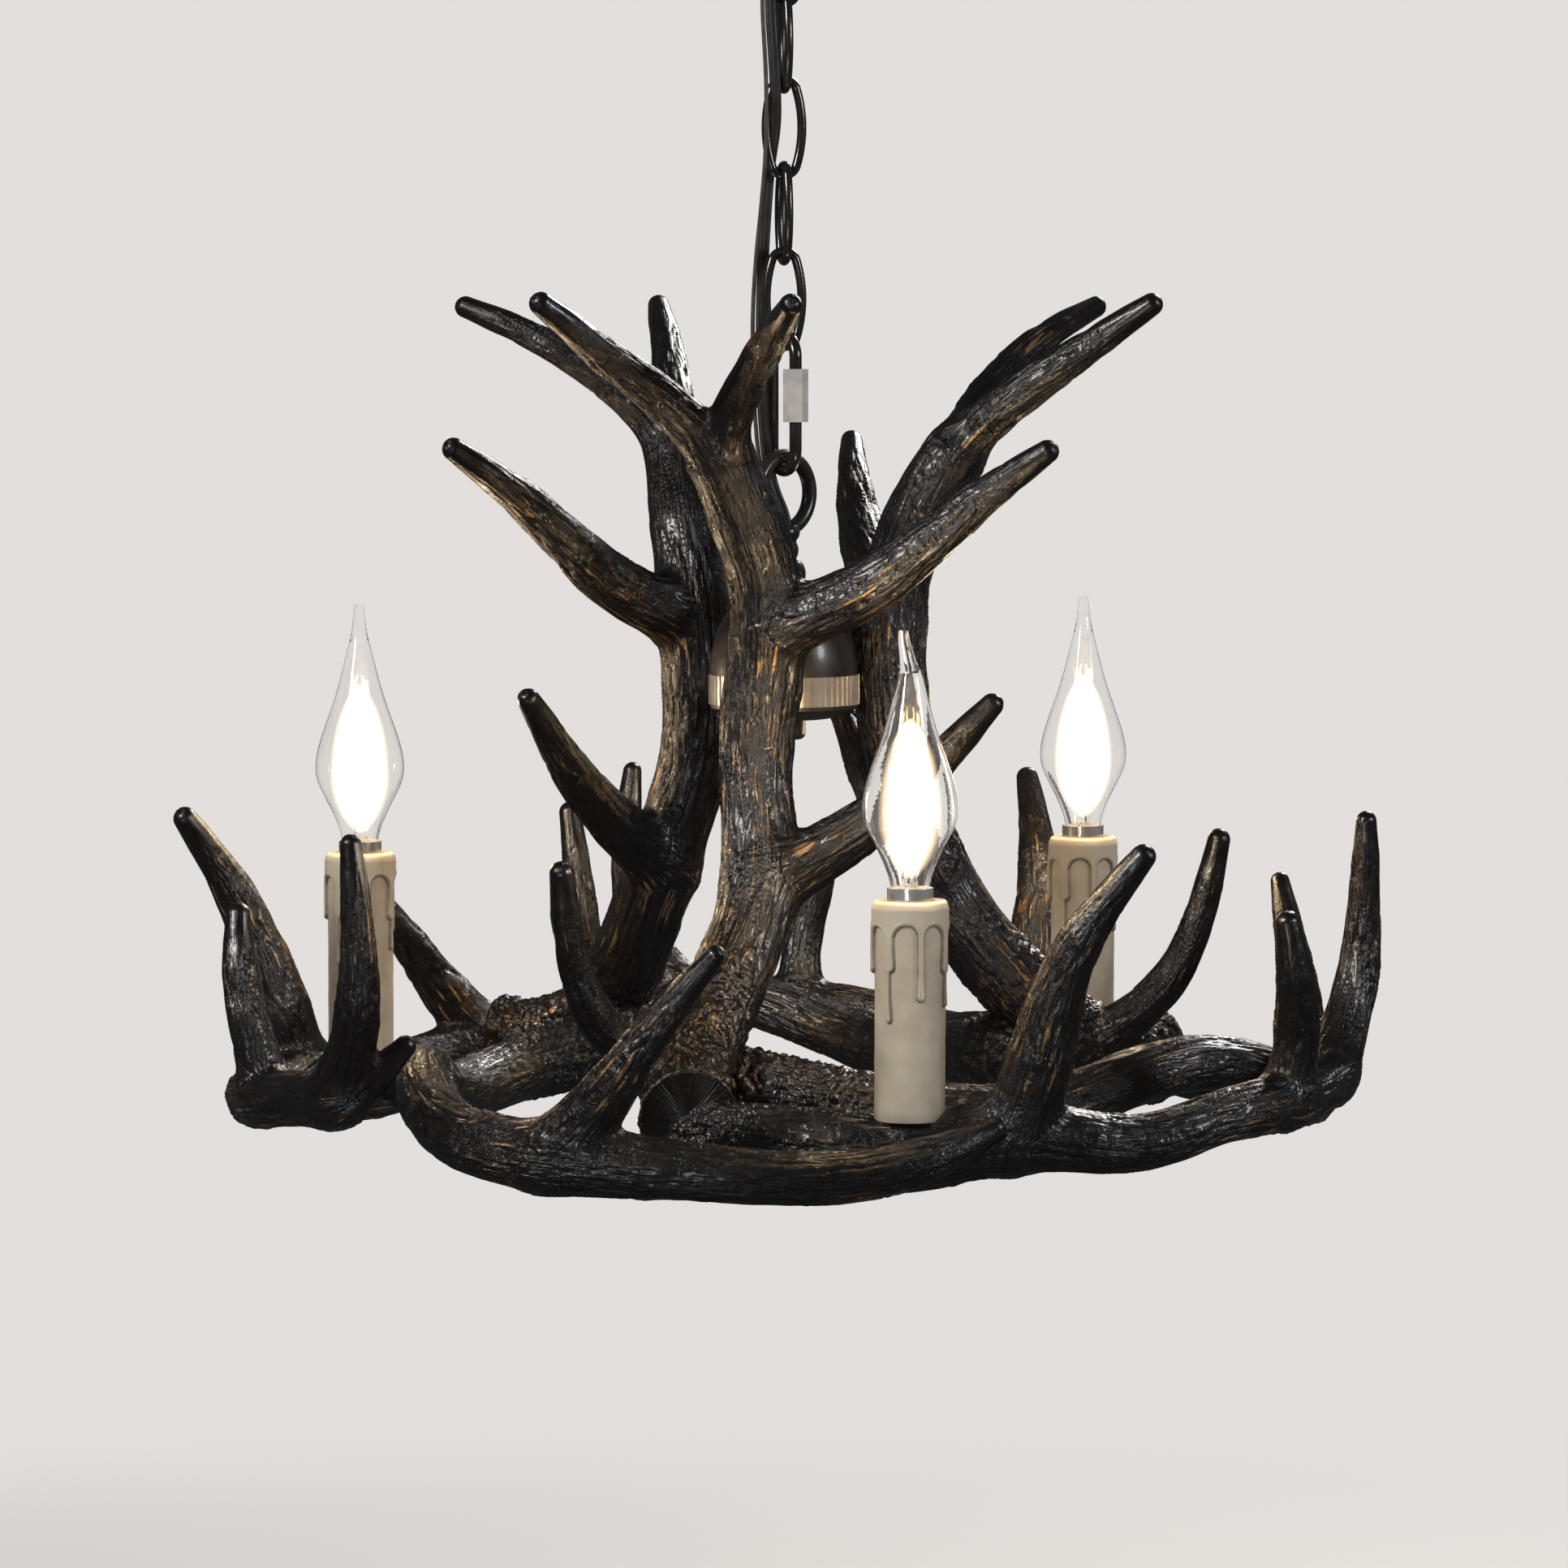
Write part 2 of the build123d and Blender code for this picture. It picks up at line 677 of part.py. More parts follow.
def between(places, values, place):
    """The value at a place, on straight lines between the given ones."""
    for start, end, low, high in zip(places, places[1:], values, values[1:]):
        if place <= end:
            return low + (high - low) * (place - start) / (end - start)
    return values[-1]


def stem(stations, swell):
    """One tapering stem: circles across a smooth line, closed by a ball at the tip."""
    points = [spot(distance, angle, height) for distance, angle, height, radius in stations]
    radii = [radius + swell for distance, angle, height, radius in stations]
    with BuildLine():
        line = Spline(*points)
    places = [line.param_at_point(point) for point in points]
    side = (points[-1] - points[0]).cross(Vector(stem_side_guide))
    steps = max(fewest_stations, round(line.length / stem_step))
    with BuildPart() as piece:
        for step in range(steps + 1):
            place = step / steps
            tangent = line % place
            across = side - tangent * side.dot(tangent)
            with BuildSketch(Plane(line @ place, x_dir=across, z_dir=tangent)):
                Circle(between(places, radii, place))
        loft()
        with Locations(line @ 1):
            Sphere(radii[-1] * tip_swell)
    return piece.part


def casting(stems, swell=0.0):
    """The fused stems of one mould."""
    pieces = [stem(stations, swell) for stations in stems]
    with BuildPart() as mould:
        for piece in pieces:
            add(piece)
    return mould.part


def turned(piece, number):
    """A copy of the piece, so many thirds of a turn round the axis."""
    with BuildPart() as copy:
        add(piece, rotation=(0, 0, third_turn * number))
    return copy.part


upright_swollen = casting(upright_stems, cope_gap)
ring_swollen = casting(ring_stems, cope_gap)

pin_ends = [
    (spot(candle_radius - 25, -12, 5), spot(candle_radius - 17, -2, 5)),
    (spot(90, -136, 20), spot(90, -136, 40)),
    (spot(candle_radius + 3, 19.5, 2), spot(candle_radius + 25.5, 19.5, 5.5)),
]


def pins(swell):
    """The steel pins of one third of the ring, each across the seam of two castings."""
    with BuildPart() as piece:
        for near, far in pin_ends:
            along = (far - near).normalized()
            start = (near + far) / 2 - along * (pin_length / 2 + swell)
            with BuildSketch(Plane(start, z_dir=along)):
                Circle(pin_diameter / 2 + swell)
            extrude(amount=pin_length + 2 * swell)
    return piece.part


pin_holes = pins(fit_gap)
seat = Plane(spot(candle_radius, candle_angle, seat_height))
trunk_out = Vector(sin(radians(trunk_angle)), -cos(radians(trunk_angle)), 0)
trunk_hole_plane = Plane(Vector(0, 0, hub_screw_z), z_dir=trunk_out)

with BuildPart() as upright_mould:
    add(casting(upright_stems))
    with BuildSketch(Plane.XY.offset(band_bottom_z - dish_depth)):
        Circle(band_diameter / 2 + band_rib_depth + cope_gap)
    extrude(amount=band_top_z + dish_depth - band_bottom_z, mode=Mode.SUBTRACT)
    with BuildSketch(trunk_hole_plane):
        Circle(hub_screw_shank / 2 + fit_gap)
    extrude(amount=band_inside + hub_screw_length, mode=Mode.SUBTRACT)
    add(pin_holes, mode=Mode.SUBTRACT)
    add(turned(pin_holes, 1), mode=Mode.SUBTRACT)

with BuildPart() as ring_mould:
    add(casting(ring_stems))
    add(upright_swollen, mode=Mode.SUBTRACT)
    with BuildSketch(seat):
        Circle(seat_diameter / 2)
    extrude(amount=seat_cut_height, mode=Mode.SUBTRACT)
    with BuildSketch(seat):
        Circle(tube_diameter / 2 + tube_gap)
    extrude(amount=-2 * candle_tube_length, mode=Mode.SUBTRACT)
    with BuildSketch(seat.offset(-candle_nut_depth)):
        Circle(candle_nut_pocket / 2)
    extrude(amount=-candle_tube_length, mode=Mode.SUBTRACT)
    add(pin_holes, mode=Mode.SUBTRACT)

with BuildPart() as outer_mould:
    add(casting(outer_stems))
    add(turned(upright_swollen, -1), mode=Mode.SUBTRACT)
    add(ring_swollen, mode=Mode.SUBTRACT)
    add(pin_holes, mode=Mode.SUBTRACT)

for number in thirds:
    keep(turned(upright_mould.part, number), f"upright_antler_{number + 1}")
    keep(turned(ring_mould.part, number), f"ring_antler_{number + 1}")
    keep(turned(outer_mould.part, number), f"outer_antler_{number + 1}")

with BuildPart() as antler_pins:
    for number in thirds:
        add(pins(0), rotation=(0, 0, third_turn * number))
keep(antler_pins.part, "antler_pins")

# ------------------------------------------------------------------ candles and lamps

holder_height = candle_sleeve_height - candle_lip - seat_gap
skirt_bottom = candle_sleeve_height - candle_lip
skirt_top = skirt_bottom + lamp_skirt_height
glass_bottom = skirt_top - lamp_cup_depth + fit_gap


def turned_piece(plane, outline):
    """A turned solid about the plane's own normal, from a closed half section."""
    with BuildPart() as piece:
        with BuildSketch(Plane(plane.origin, x_dir=plane.x_dir, z_dir=-plane.y_dir)):
            with BuildLine():
                outline()
            make_face()
        revolve(axis=Axis(plane.origin, plane.z_dir))
    return piece.part


def stacked_cylinders(plane, steps):
    """Cylinders on one axis, each given as (diameter, bottom, top) over the plane."""
    with BuildPart() as piece:
        for diameter, bottom, top in steps:
            with BuildSketch(plane.offset(bottom)):
                Circle(diameter / 2)
            extrude(amount=top - bottom)
    return piece.part


def glass_outline(inset):
    """Half section of the bent-tip candle lamp's glass, from its neck to the end of its tail."""
    neck = glass_neck_diameter / 2 - inset
    belly = glass_diameter / 2 - inset
    shoulder = glass_shoulder_diameter / 2 - inset
    points = [
        (neck, glass_bottom + glass_neck_height),
        (belly, glass_bottom + glass_belly_height),
        (shoulder, glass_bottom + glass_shoulder_height),
    ]
    points.append((glass_tail_diameter / 2 - inset, glass_bottom + glass_tail_height))
    if not inset:
        points.append((glass_tip_diameter / 2, glass_bottom + glass_height))
    end = (0, points[-1][1])
    Line((0, glass_bottom), (neck, glass_bottom))
    Line((neck, glass_bottom), points[0])
    Spline(*points, tangents=[(glass_neck_slope, 1), (-glass_inner_slope if inset else -glass_tip_slope, 1)])
    Line(points[-1], end)
    Line(end, (0, glass_bottom))


for number in thirds:
    seat = Plane(spot(candle_radius, candle_angle + third_turn * number, seat_height))

    with BuildPart() as candle_sleeve:
        with BuildSketch(seat):
            Circle(candle_sleeve_diameter / 2)
            Circle(candle_sleeve_diameter / 2 - candle_sleeve_wall, mode=Mode.SUBTRACT)
        extrude(amount=candle_sleeve_height)
        with BuildSketch(seat.offset(candle_sleeve_height - candle_lip)):
            Circle(candle_sleeve_diameter / 2)
            Circle(candle_lip_bore / 2, mode=Mode.SUBTRACT)
        extrude(amount=candle_lip)
        rim_edges = candle_sleeve.faces().sort_by(Axis.Z)[-1].edges().sort_by(SortBy.RADIUS)
        fillet(rim_edges[-1], candle_lip / 2)
    keep(candle_sleeve.part, f"candle_sleeve_{number + 1}")

    with BuildPart() as lampholder:
        steps = [
            (holder_foot_diameter, 0, holder_foot_height),
            (holder_diameter, holder_foot_height, holder_height),
        ]
        add(stacked_cylinders(seat, steps))
        with BuildSketch(seat.offset(holder_height)):
            Circle(lamp_thread / 2 + fit_gap)
        extrude(amount=-socket_depth, mode=Mode.SUBTRACT)
        with BuildSketch(seat):
            Circle(tube_diameter / 2 + tube_gap)
        extrude(amount=candle_tube_rise + fit_gap, mode=Mode.SUBTRACT)
    keep(lampholder.part, f"lampholder_{number + 1}")

    with BuildPart() as bulb_cap:
        thread_bottom = skirt_bottom - lamp_thread_length
        steps = [
            (lamp_contact_diameter, thread_bottom - lamp_contact_height, thread_bottom),
            (lamp_thread, thread_bottom, skirt_bottom),
            (lamp_skirt_diameter, skirt_bottom, skirt_top),
        ]
        add(stacked_cylinders(seat, steps))
        with BuildSketch(seat.offset(skirt_top)):
            Circle(glass_neck_diameter / 2 + fit_gap)
        extrude(amount=-lamp_cup_depth, mode=Mode.SUBTRACT)
    keep(bulb_cap.part, f"bulb_cap_{number + 1}")

    with BuildPart() as bulb_glass:
        add(turned_piece(seat, lambda: glass_outline(0)))
        add(turned_piece(seat, lambda: glass_outline(glass_wall)), mode=Mode.SUBTRACT)
    keep(bulb_glass.part, f"bulb_glass_{number + 1}")

    with BuildPart() as bulb_filaments:
        stem_foot = glass_bottom
        disc_foot = stem_foot + filament_stem_height
        steps = [
            (filament_stem_diameter, stem_foot, disc_foot),
            (filament_disc_diameter, disc_foot, disc_foot + filament_disc_height),
        ]
        add(stacked_cylinders(seat, steps))
        with BuildSketch(seat.offset(disc_foot)):
            with PolarLocations(filament_circle / 2, filament_count):
                Circle(filament_diameter / 2)
        extrude(amount=filament_length)
        with BuildSketch(seat.offset(disc_foot + filament_length)):
            Circle(filament_circle / 2 + filament_diameter / 2)
            Circle(filament_circle / 2 - filament_diameter / 2, mode=Mode.SUBTRACT)
        extrude(amount=filament_diameter / 2)
    keep(bulb_filaments.part, f"bulb_filaments_{number + 1}")

with BuildPart() as candle_tubes:
    for number in thirds:
        seat = Plane(spot(candle_radius, candle_angle + third_turn * number, seat_height))
        foot = seat.offset(candle_tube_rise - candle_tube_length)
        add(tube(foot, tube_diameter, tube_bore, candle_tube_length))
keep(candle_tubes.part, "candle_tubes")

with BuildPart() as candle_nuts:
    for number in thirds:
        seat = Plane(spot(candle_radius, candle_angle + third_turn * number, seat_height))
        foot = seat.offset(-candle_nut_depth - nut_thickness)
        add(nut(foot, nut_across_flats, tube_diameter + 2 * tube_gap, nut_thickness))
keep(candle_nuts.part, "candle_nuts")

# ------------------------------------------------------------------ cord
# Places along the chain are given as (along the link plane, across it, height), so both
# routes turn with the chain's yaw; heights are counted from the first link's middle.

cord_route = [
    (1.15, 0.0, 68.7),
    (1.15, 0.0, 33.0),
    (-5.6, -4.5, 14.8),
    (-7.2, -5.0, -15.5),
    (-4.6, -4.6, -51.2),
    (-3.2, 0.0, -66.3),
    (-4.6, 4.6, -81.0),
    (-6.5, 5.0, -107.5),
    (-8.0, 5.2, -139.0),
    (-7.8, 4.4, -171.0),
    (-6.6, 2.6, -193.0),
    (-3.9, 1.5, -207.2),
    (1.15, 0.0, -219.0),
    (1.15, 0.3, -247.5),
]

earth_route = [
    (-2.35, 0.0, 68.7),
    (-2.35, 0.0, 33.0),
    (-9.0, -4.2, 14.8),
    (-10.4, -5.0, -15.5),
    (-8.2, -4.9, -51.2),
    (-8.6, -4.7, -78.0),
    (-9.6, -1.5, -98.0),
    (-10.4, 3.5, -117.0),
    (-11.4, 5.2, -139.0),
    (-11.2, 4.4, -171.0),
    (-10.0, 2.2, -193.0),
    (-7.2, 0.8, -207.2),
    (-2.35, 0.0, -219.0),
    (-2.35, -0.3, -247.5),
]


def cord(route, diameter, name):
    """A tube of straight runs joined by tangent arcs, each as large as its runs allow."""
    chain_plane = Plane((0, 0, first_link_z), x_dir=upright_plane(chain_yaw, 0).x_dir, z_dir=(0, 0, 1))
    points = [chain_plane.from_local_coords(Vector(place)) for place in route]
    radii = []
    for before, corner, after in zip(points, points[1:], points[2:]):
        run = min((corner - before).length, (after - corner).length)
        half_turn = radians((corner - before).get_angle(after - corner)) / 2
        radii.append(cord_arc_share * run / tan(half_turn))
    with BuildPart() as piece:
        with BuildLine() as line:
            FilletPolyline(*points, radius=radii)
        with BuildSketch(Plane(line.line @ 0, z_dir=line.line % 0)):
            Circle(diameter / 2)
        sweep()
    length = line.wires()[0].length
    expected = pi * diameter**2 / 4 * length
    print(name, "length", round(length, 1), "smallest radius", round(min(radii), 1))
    print(name, "volume over section times length", round(piece.part.volume / expected, 4))
    keep(piece.part, name)


cord(cord_route, cord_diameter, "supply_cord")
cord(earth_route, earth_diameter, "earth_wire")
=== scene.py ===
# %% [markdown]
# # Antler chandelier
# A ring of cast antlers hangs on a chain and carries three candle lamps. The CAD frame gives the
# true sizes and places. This lesson dresses it: grooved castings, wax drips, clear lamps, the
# cord down the chain, and the finishes. First the frame is loaded.

import json
import math

import bpy
import numpy as np
from mathutils import Matrix, Vector, noise


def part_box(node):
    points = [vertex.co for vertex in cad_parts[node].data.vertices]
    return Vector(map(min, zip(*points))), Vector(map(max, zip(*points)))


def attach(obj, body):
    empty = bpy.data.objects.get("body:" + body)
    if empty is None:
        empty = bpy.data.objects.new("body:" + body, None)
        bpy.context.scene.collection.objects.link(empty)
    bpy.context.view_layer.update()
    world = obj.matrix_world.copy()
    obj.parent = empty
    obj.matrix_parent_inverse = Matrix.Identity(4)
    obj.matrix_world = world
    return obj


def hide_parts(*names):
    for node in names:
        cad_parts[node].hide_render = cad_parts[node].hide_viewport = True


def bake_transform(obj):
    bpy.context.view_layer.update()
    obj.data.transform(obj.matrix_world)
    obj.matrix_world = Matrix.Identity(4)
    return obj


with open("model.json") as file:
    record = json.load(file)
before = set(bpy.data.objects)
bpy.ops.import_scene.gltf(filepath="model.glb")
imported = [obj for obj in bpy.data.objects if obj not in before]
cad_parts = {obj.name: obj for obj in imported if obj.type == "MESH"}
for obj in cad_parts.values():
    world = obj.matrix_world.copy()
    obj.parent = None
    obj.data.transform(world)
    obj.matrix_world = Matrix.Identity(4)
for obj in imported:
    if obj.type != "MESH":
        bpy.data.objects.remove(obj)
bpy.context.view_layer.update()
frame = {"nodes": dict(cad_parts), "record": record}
nodes = frame["nodes"]
scene = bpy.context.scene
THIRD_TURN = math.radians(120)
THIRDS = (0, 1, 2)
MM = 0.001

# %% [markdown]
# ## Camera, floor and light
# The photograph was taken from about two and a half metres, a little above the ring and tipped
# down. A long lens keeps the candles nearly parallel. The picture's frame is square, so the lens
# is worked out from the pixels that one metre covers. The background is one pale tone: the world
# shows it to the camera, and the floor fades into it away from the lamp's own shadow.

# %% Camera
PICTURE_SIDE = 1932
FOCAL_PIXELS = 7875
HORIZON_ROW = 400
EYE_HEIGHT = -0.212
EYE_DISTANCE = 2.5
SENSOR_WIDTH = 36.0

camera_data = bpy.data.cameras.new("photo_camera")
camera_data.sensor_width = SENSOR_WIDTH
camera_data.lens = FOCAL_PIXELS / PICTURE_SIDE * SENSOR_WIDTH
camera_data.clip_end = 50
camera = bpy.data.objects.new("photo_camera", camera_data)
tilt = math.atan((PICTURE_SIDE / 2 - HORIZON_ROW) / FOCAL_PIXELS)
camera.location = (0, -EYE_DISTANCE, EYE_HEIGHT)
camera.rotation_euler = (math.pi / 2 - tilt, 0, 0)
scene.collection.objects.link(camera)
scene.camera = camera
scene.view_settings.view_transform = "Standard"
print("lens", round(camera_data.lens, 1), "mm, tilt", round(math.degrees(tilt), 2), "degrees")

# %% World and floor
BACKGROUND = (0.76, 0.735, 0.715, 1)
FLOOR_HEIGHT = -0.95
FLOOR_RADIUS = 12.0
FLOOR_FADE = (0.55, 1.1)
FILL_COLOUR = (0.97, 0.98, 1.0, 1)
FILL_STRENGTH = 0.40
ROOM_IN_MIRRORS = (0.050, 0.052, 0.056, 1)


def node_tree(owner):
    """An empty node tree to build on."""
    owner.use_nodes = True
    owner.node_tree.nodes.clear()
    return owner.node_tree


def seen_directly(tree):
    """One for what the camera sees straight on or through glass, else zero."""
    path = tree.nodes.new("ShaderNodeLightPath")
    either = tree.nodes.new("ShaderNodeMath")
    either.operation = "MAXIMUM"
    tree.links.new(path.outputs["Is Camera Ray"], either.inputs[0])
    tree.links.new(path.outputs["Is Transmission Ray"], either.inputs[1])
    return either.outputs[0]


def mirror_ray(tree):
    """One for what a shiny surface mirrors, unless the ray came through glass first."""
    path = tree.nodes.new("ShaderNodeLightPath")
    before = tree.nodes.new("ShaderNodeMath")
    before.operation = "LESS_THAN"
    before.inputs[1].default_value = 0.5
    tree.links.new(path.outputs["Transmission Depth"], before.inputs[0])
    both = tree.nodes.new("ShaderNodeMath")
    both.operation = "MULTIPLY"
    tree.links.new(before.outputs[0], both.inputs[0])
    tree.links.new(path.outputs["Is Glossy Ray"], both.inputs[1])
    return both.outputs[0]


world = bpy.data.worlds.new("pale_room")
scene.world = world
tree = node_tree(world)
glows = []
for colour, strength in ((FILL_COLOUR, FILL_STRENGTH), (ROOM_IN_MIRRORS, 1.0), (BACKGROUND, 1.0)):
    glow = tree.nodes.new("ShaderNodeBackground")
    glow.inputs["Color"].default_value = colour
    glow.inputs["Strength"].default_value = strength
    glows.append(glow.outputs[0])
light = glows[0]
for test, glow in ((mirror_ray(tree), glows[1]), (seen_directly(tree), glows[2])):
    mix = tree.nodes.new("ShaderNodeMixShader")
    tree.links.new(test, mix.inputs[0])
    tree.links.new(light, mix.inputs[1])
    tree.links.new(glow, mix.inputs[2])
    light = mix.outputs[0]
tree.links.new(light, tree.nodes.new("ShaderNodeOutputWorld").inputs[0])

floor_mesh = bpy.data.meshes.new("floor")
ring = [(FLOOR_RADIUS * math.cos(a), FLOOR_RADIUS * math.sin(a), FLOOR_HEIGHT)
        for a in np.linspace(0, 2 * math.pi, 64, endpoint=False)]
floor_mesh.from_pydata(ring, [], [list(range(64))])
floor = bpy.data.objects.new("floor", floor_mesh)
scene.collection.objects.link(floor)
floor_finish = bpy.data.materials.new("pale_floor")
tree = node_tree(floor_finish)
matt = tree.nodes.new("ShaderNodeBsdfDiffuse")
matt.inputs["Color"].default_value = BACKGROUND
bright = tree.nodes.new("ShaderNodeEmission")
bright.inputs["Color"].default_value = BACKGROUND
place = tree.nodes.new("ShaderNodeNewGeometry")
reach = tree.nodes.new("ShaderNodeVectorMath")
reach.operation = "LENGTH"
fade = tree.nodes.new("ShaderNodeMapRange")
fade.interpolation_type = "SMOOTHSTEP"
fade.inputs["From Min"].default_value = FLOOR_FADE[0] - FLOOR_HEIGHT
fade.inputs["From Max"].default_value = FLOOR_FADE[1] - FLOOR_HEIGHT
both = tree.nodes.new("ShaderNodeMath")
both.operation = "MULTIPLY"
mix = tree.nodes.new("ShaderNodeMixShader")
tree.links.new(place.outputs["Position"], reach.inputs[0])
tree.links.new(reach.outputs["Value"], fade.inputs["Value"])
tree.links.new(fade.outputs[0], both.inputs[0])
tree.links.new(seen_directly(tree), both.inputs[1])
tree.links.new(both.outputs[0], mix.inputs[0])
tree.links.new(matt.outputs[0], mix.inputs[1])
tree.links.new(bright.outputs[0], mix.inputs[2])
dim = tree.nodes.new("ShaderNodeEmission")
dim.inputs["Color"].default_value = ROOM_IN_MIRRORS
last = tree.nodes.new("ShaderNodeMixShader")
tree.links.new(mirror_ray(tree), last.inputs[0])
tree.links.new(mix.outputs[0], last.inputs[1])
tree.links.new(dim.outputs[0], last.inputs[2])
tree.links.new(last.outputs[0], tree.nodes.new("ShaderNodeOutputMaterial").inputs[0])
floor_mesh.materials.append(floor_finish)

# %% Lamps of the studio
RING_MIDDLE = Vector((0, 0, -0.38))
studio = [
    # name, place, side in metres, watts, colour
    ("key", (-1.7, -1.5, 0.75), 0.55, 36, (1.0, 0.98, 0.95)),
    ("window", (1.9, -1.0, 0.25), 0.4, 12, (0.93, 0.96, 1.0)),
    ("rim", (0.9, 1.7, 0.8), 0.5, 24, (1.0, 0.96, 0.92)),
    ("low", (-0.6, -2.1, -0.75), 0.35, 3, (0.95, 0.97, 1.0)),
]
for name, where, side, watts, colour in studio:
    lamp = bpy.data.lights.new(name, "AREA")
    lamp.size = side
    lamp.energy = watts
    lamp.color = colour
    holder = bpy.data.objects.new(name, lamp)
    holder.location = where
    holder.rotation_euler = (RING_MIDDLE - Vector(where)).to_track_quat("-Z", "Y").to_euler()
    holder.visible_camera = False
    scene.collection.objects.link(holder)
print("studio lamps", len(studio))

# %% [markdown]
# ## Shape tools
# Most pieces are bars swept along a line or outlines turned about an axis, so two small makers
# cover them. Places on the ring are given as the CAD gives them: a distance from the middle, an
# angle from the front, and a height above the ring's own level, all in millimetres.

# %% Shape tools
RING_HEIGHT = -515.05
CHAIN_HEIGHT = -68.8
CHAIN_YAW = math.radians(15)
SIDE_GUIDE = (0.31, 0.22, 0.93)
BALL_STEPS = (25, 50, 70, 84)


def spot(distance, angle, height):
    """A place on the ring, in millimetres."""
    turn = math.radians(angle)
    return (distance * math.sin(turn), -distance * math.cos(turn), RING_HEIGHT + height)


def chain_spot(along, across, height):
    """A place beside the chain, in millimetres, measured in the odd links' own plane."""
    c, s = math.cos(CHAIN_YAW), math.sin(CHAIN_YAW)
    return (along * c - across * s, along * s + across * c, CHAIN_HEIGHT + height)


def unit(rows):
    """Each row scaled to length one."""
    return rows / np.maximum(np.linalg.norm(rows, axis=-1, keepdims=True), 1e-12)


def ease(low, high, value):
    """Zero below low, one above high, and a soft slope between."""
    share = np.clip((value - low) / (high - low), 0, 1)
    return share * share * (3 - 2 * share)


def natural_curve(rows, step):
    """Points evenly spaced on the smooth curve through the rows' places, with the rows' last value."""
    places, sizes = rows[:, :3], rows[:, 3]
    gaps = np.linalg.norm(np.diff(places, axis=0), axis=1)
    marks = np.concatenate([[0], np.cumsum(gaps)])
    count = len(places)
    table, right = np.eye(count), np.zeros((count, 3))
    for i in range(1, count - 1):
        table[i, i - 1:i + 2] = gaps[i - 1], 2 * (gaps[i - 1] + gaps[i]), gaps[i]
        right[i] = 6 * ((places[i + 1] - places[i]) / gaps[i] - (places[i] - places[i - 1]) / gaps[i - 1])
    bend = np.linalg.solve(table, right)
    at = np.linspace(0, marks[-1], max(3, int(marks[-1] / step) + 1))
    k = np.clip(np.searchsorted(marks, at, side="right") - 1, 0, count - 2)
    h = gaps[k][:, None]
    a = (marks[k + 1] - at)[:, None] / h
    b = 1 - a
    path = a * places[k] + b * places[k + 1]
    path += ((a**3 - a) * bend[k] + (b**3 - b) * bend[k + 1]) * h**2 / 6
    return path, np.interp(at, marks, sizes)


def directions(path, across=None):
    """Along, side and up at each point, turned as little as the line allows."""
    along = unit(np.gradient(path, axis=0))
    start = np.array(across if across is not None else SIDE_GUIDE, float)
    sides = []
    for step in along:
        start = start - step * (start @ step)
        start = start / np.linalg.norm(start)
        sides.append(start)
        if across is not None:
            start = np.array(across, float)
    sides = np.array(sides)
    return along, sides, np.cross(along, sides)


def circle(around):
    """A round section of size one."""
    turn = np.linspace(0, 2 * math.pi, around, endpoint=False)
    return np.stack([np.cos(turn), np.sin(turn)], axis=1)


def bar_mesh(path, radii, section, across=None, caps=True):
    """Places and faces of a section swept along a path."""
    _, side, up = directions(path, across)
    radii = np.broadcast_to(radii, len(path))
    rings = path[:, None] + radii[:, None, None] * (
        section[None, :, :1] * side[:, None] + section[None, :, 1:] * up[:, None])
    n, m = len(path), len(section)
    faces = []
    for i in range(n - 1):
        for j in range(m):
            right = (j + 1) % m
            faces.append((i * m + j, i * m + right, (i + 1) * m + right, (i + 1) * m + j))
    if caps:
        faces.append(tuple(reversed(range(m))))
        faces.append(tuple(range((n - 1) * m, n * m)))
    return rings.reshape(-1, 3), faces


def with_ball(path, radii, both=False):
    """The same line with rounded ends: rings that close like half a ball."""
    def cap(end, before, size):
        out = unit(end - before)
        turns = np.radians(BALL_STEPS)
        return end + out * size * np.sin(turns)[:, None], size * np.cos(turns)
    far, small = cap(path[-1], path[-2], radii[-1])
    path, radii = np.vstack([path, far]), np.concatenate([radii, small])
    if both:
        near, small = cap(path[0], path[1], radii[0])
        path, radii = np.vstack([near[::-1], path]), np.concatenate([small[::-1], radii])
    return path, radii


def mesh_piece(name, places, faces):
    """A smooth mesh object from places in millimetres."""
    mesh = bpy.data.meshes.new(name)
    mesh.from_pydata((np.asarray(places, float) * MM).tolist(), [], faces)
    mesh.shade_smooth()
    piece = bpy.data.objects.new(name, mesh)
    scene.collection.objects.link(piece)
    return piece


def turned_mesh(outline, around, centre=(0.0, 0.0)):
    """Places and faces of a closed outline of (radius, height) turned about an upright axis."""
    outline = np.array(outline, float)
    turn = np.linspace(0, 2 * math.pi, around, endpoint=False)
    n, m = len(outline), around
    rings = np.stack([
        centre[0] + outline[:, :1] * np.cos(turn),
        centre[1] + outline[:, :1] * np.sin(turn),
        np.repeat(outline[:, 1:], m, axis=1)], axis=2)
    faces = []
    for i in range(n):
        for j in range(m):
            k, right = (i + 1) % n, (j + 1) % m
            faces.append((i * m + j, i * m + right, k * m + right, k * m + j))
    return rings.reshape(-1, 3), faces


def together(*meshes):
    """Several (places, faces) pairs as one."""
    places, faces, start = [], [], 0
    for some, theirs in meshes:
        places.append(some)
        faces += [tuple(i + start for i in face) for face in theirs]
        start += len(some)
    return np.vstack(places), faces


def dress(piece, finish, body, node):
    """Give a piece its finish, the body it rides and the CAD node it stands for."""
    piece.data.materials.clear()
    piece.data.materials.append(finish)
    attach(piece, body)
    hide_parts(node)


print("tools ready")

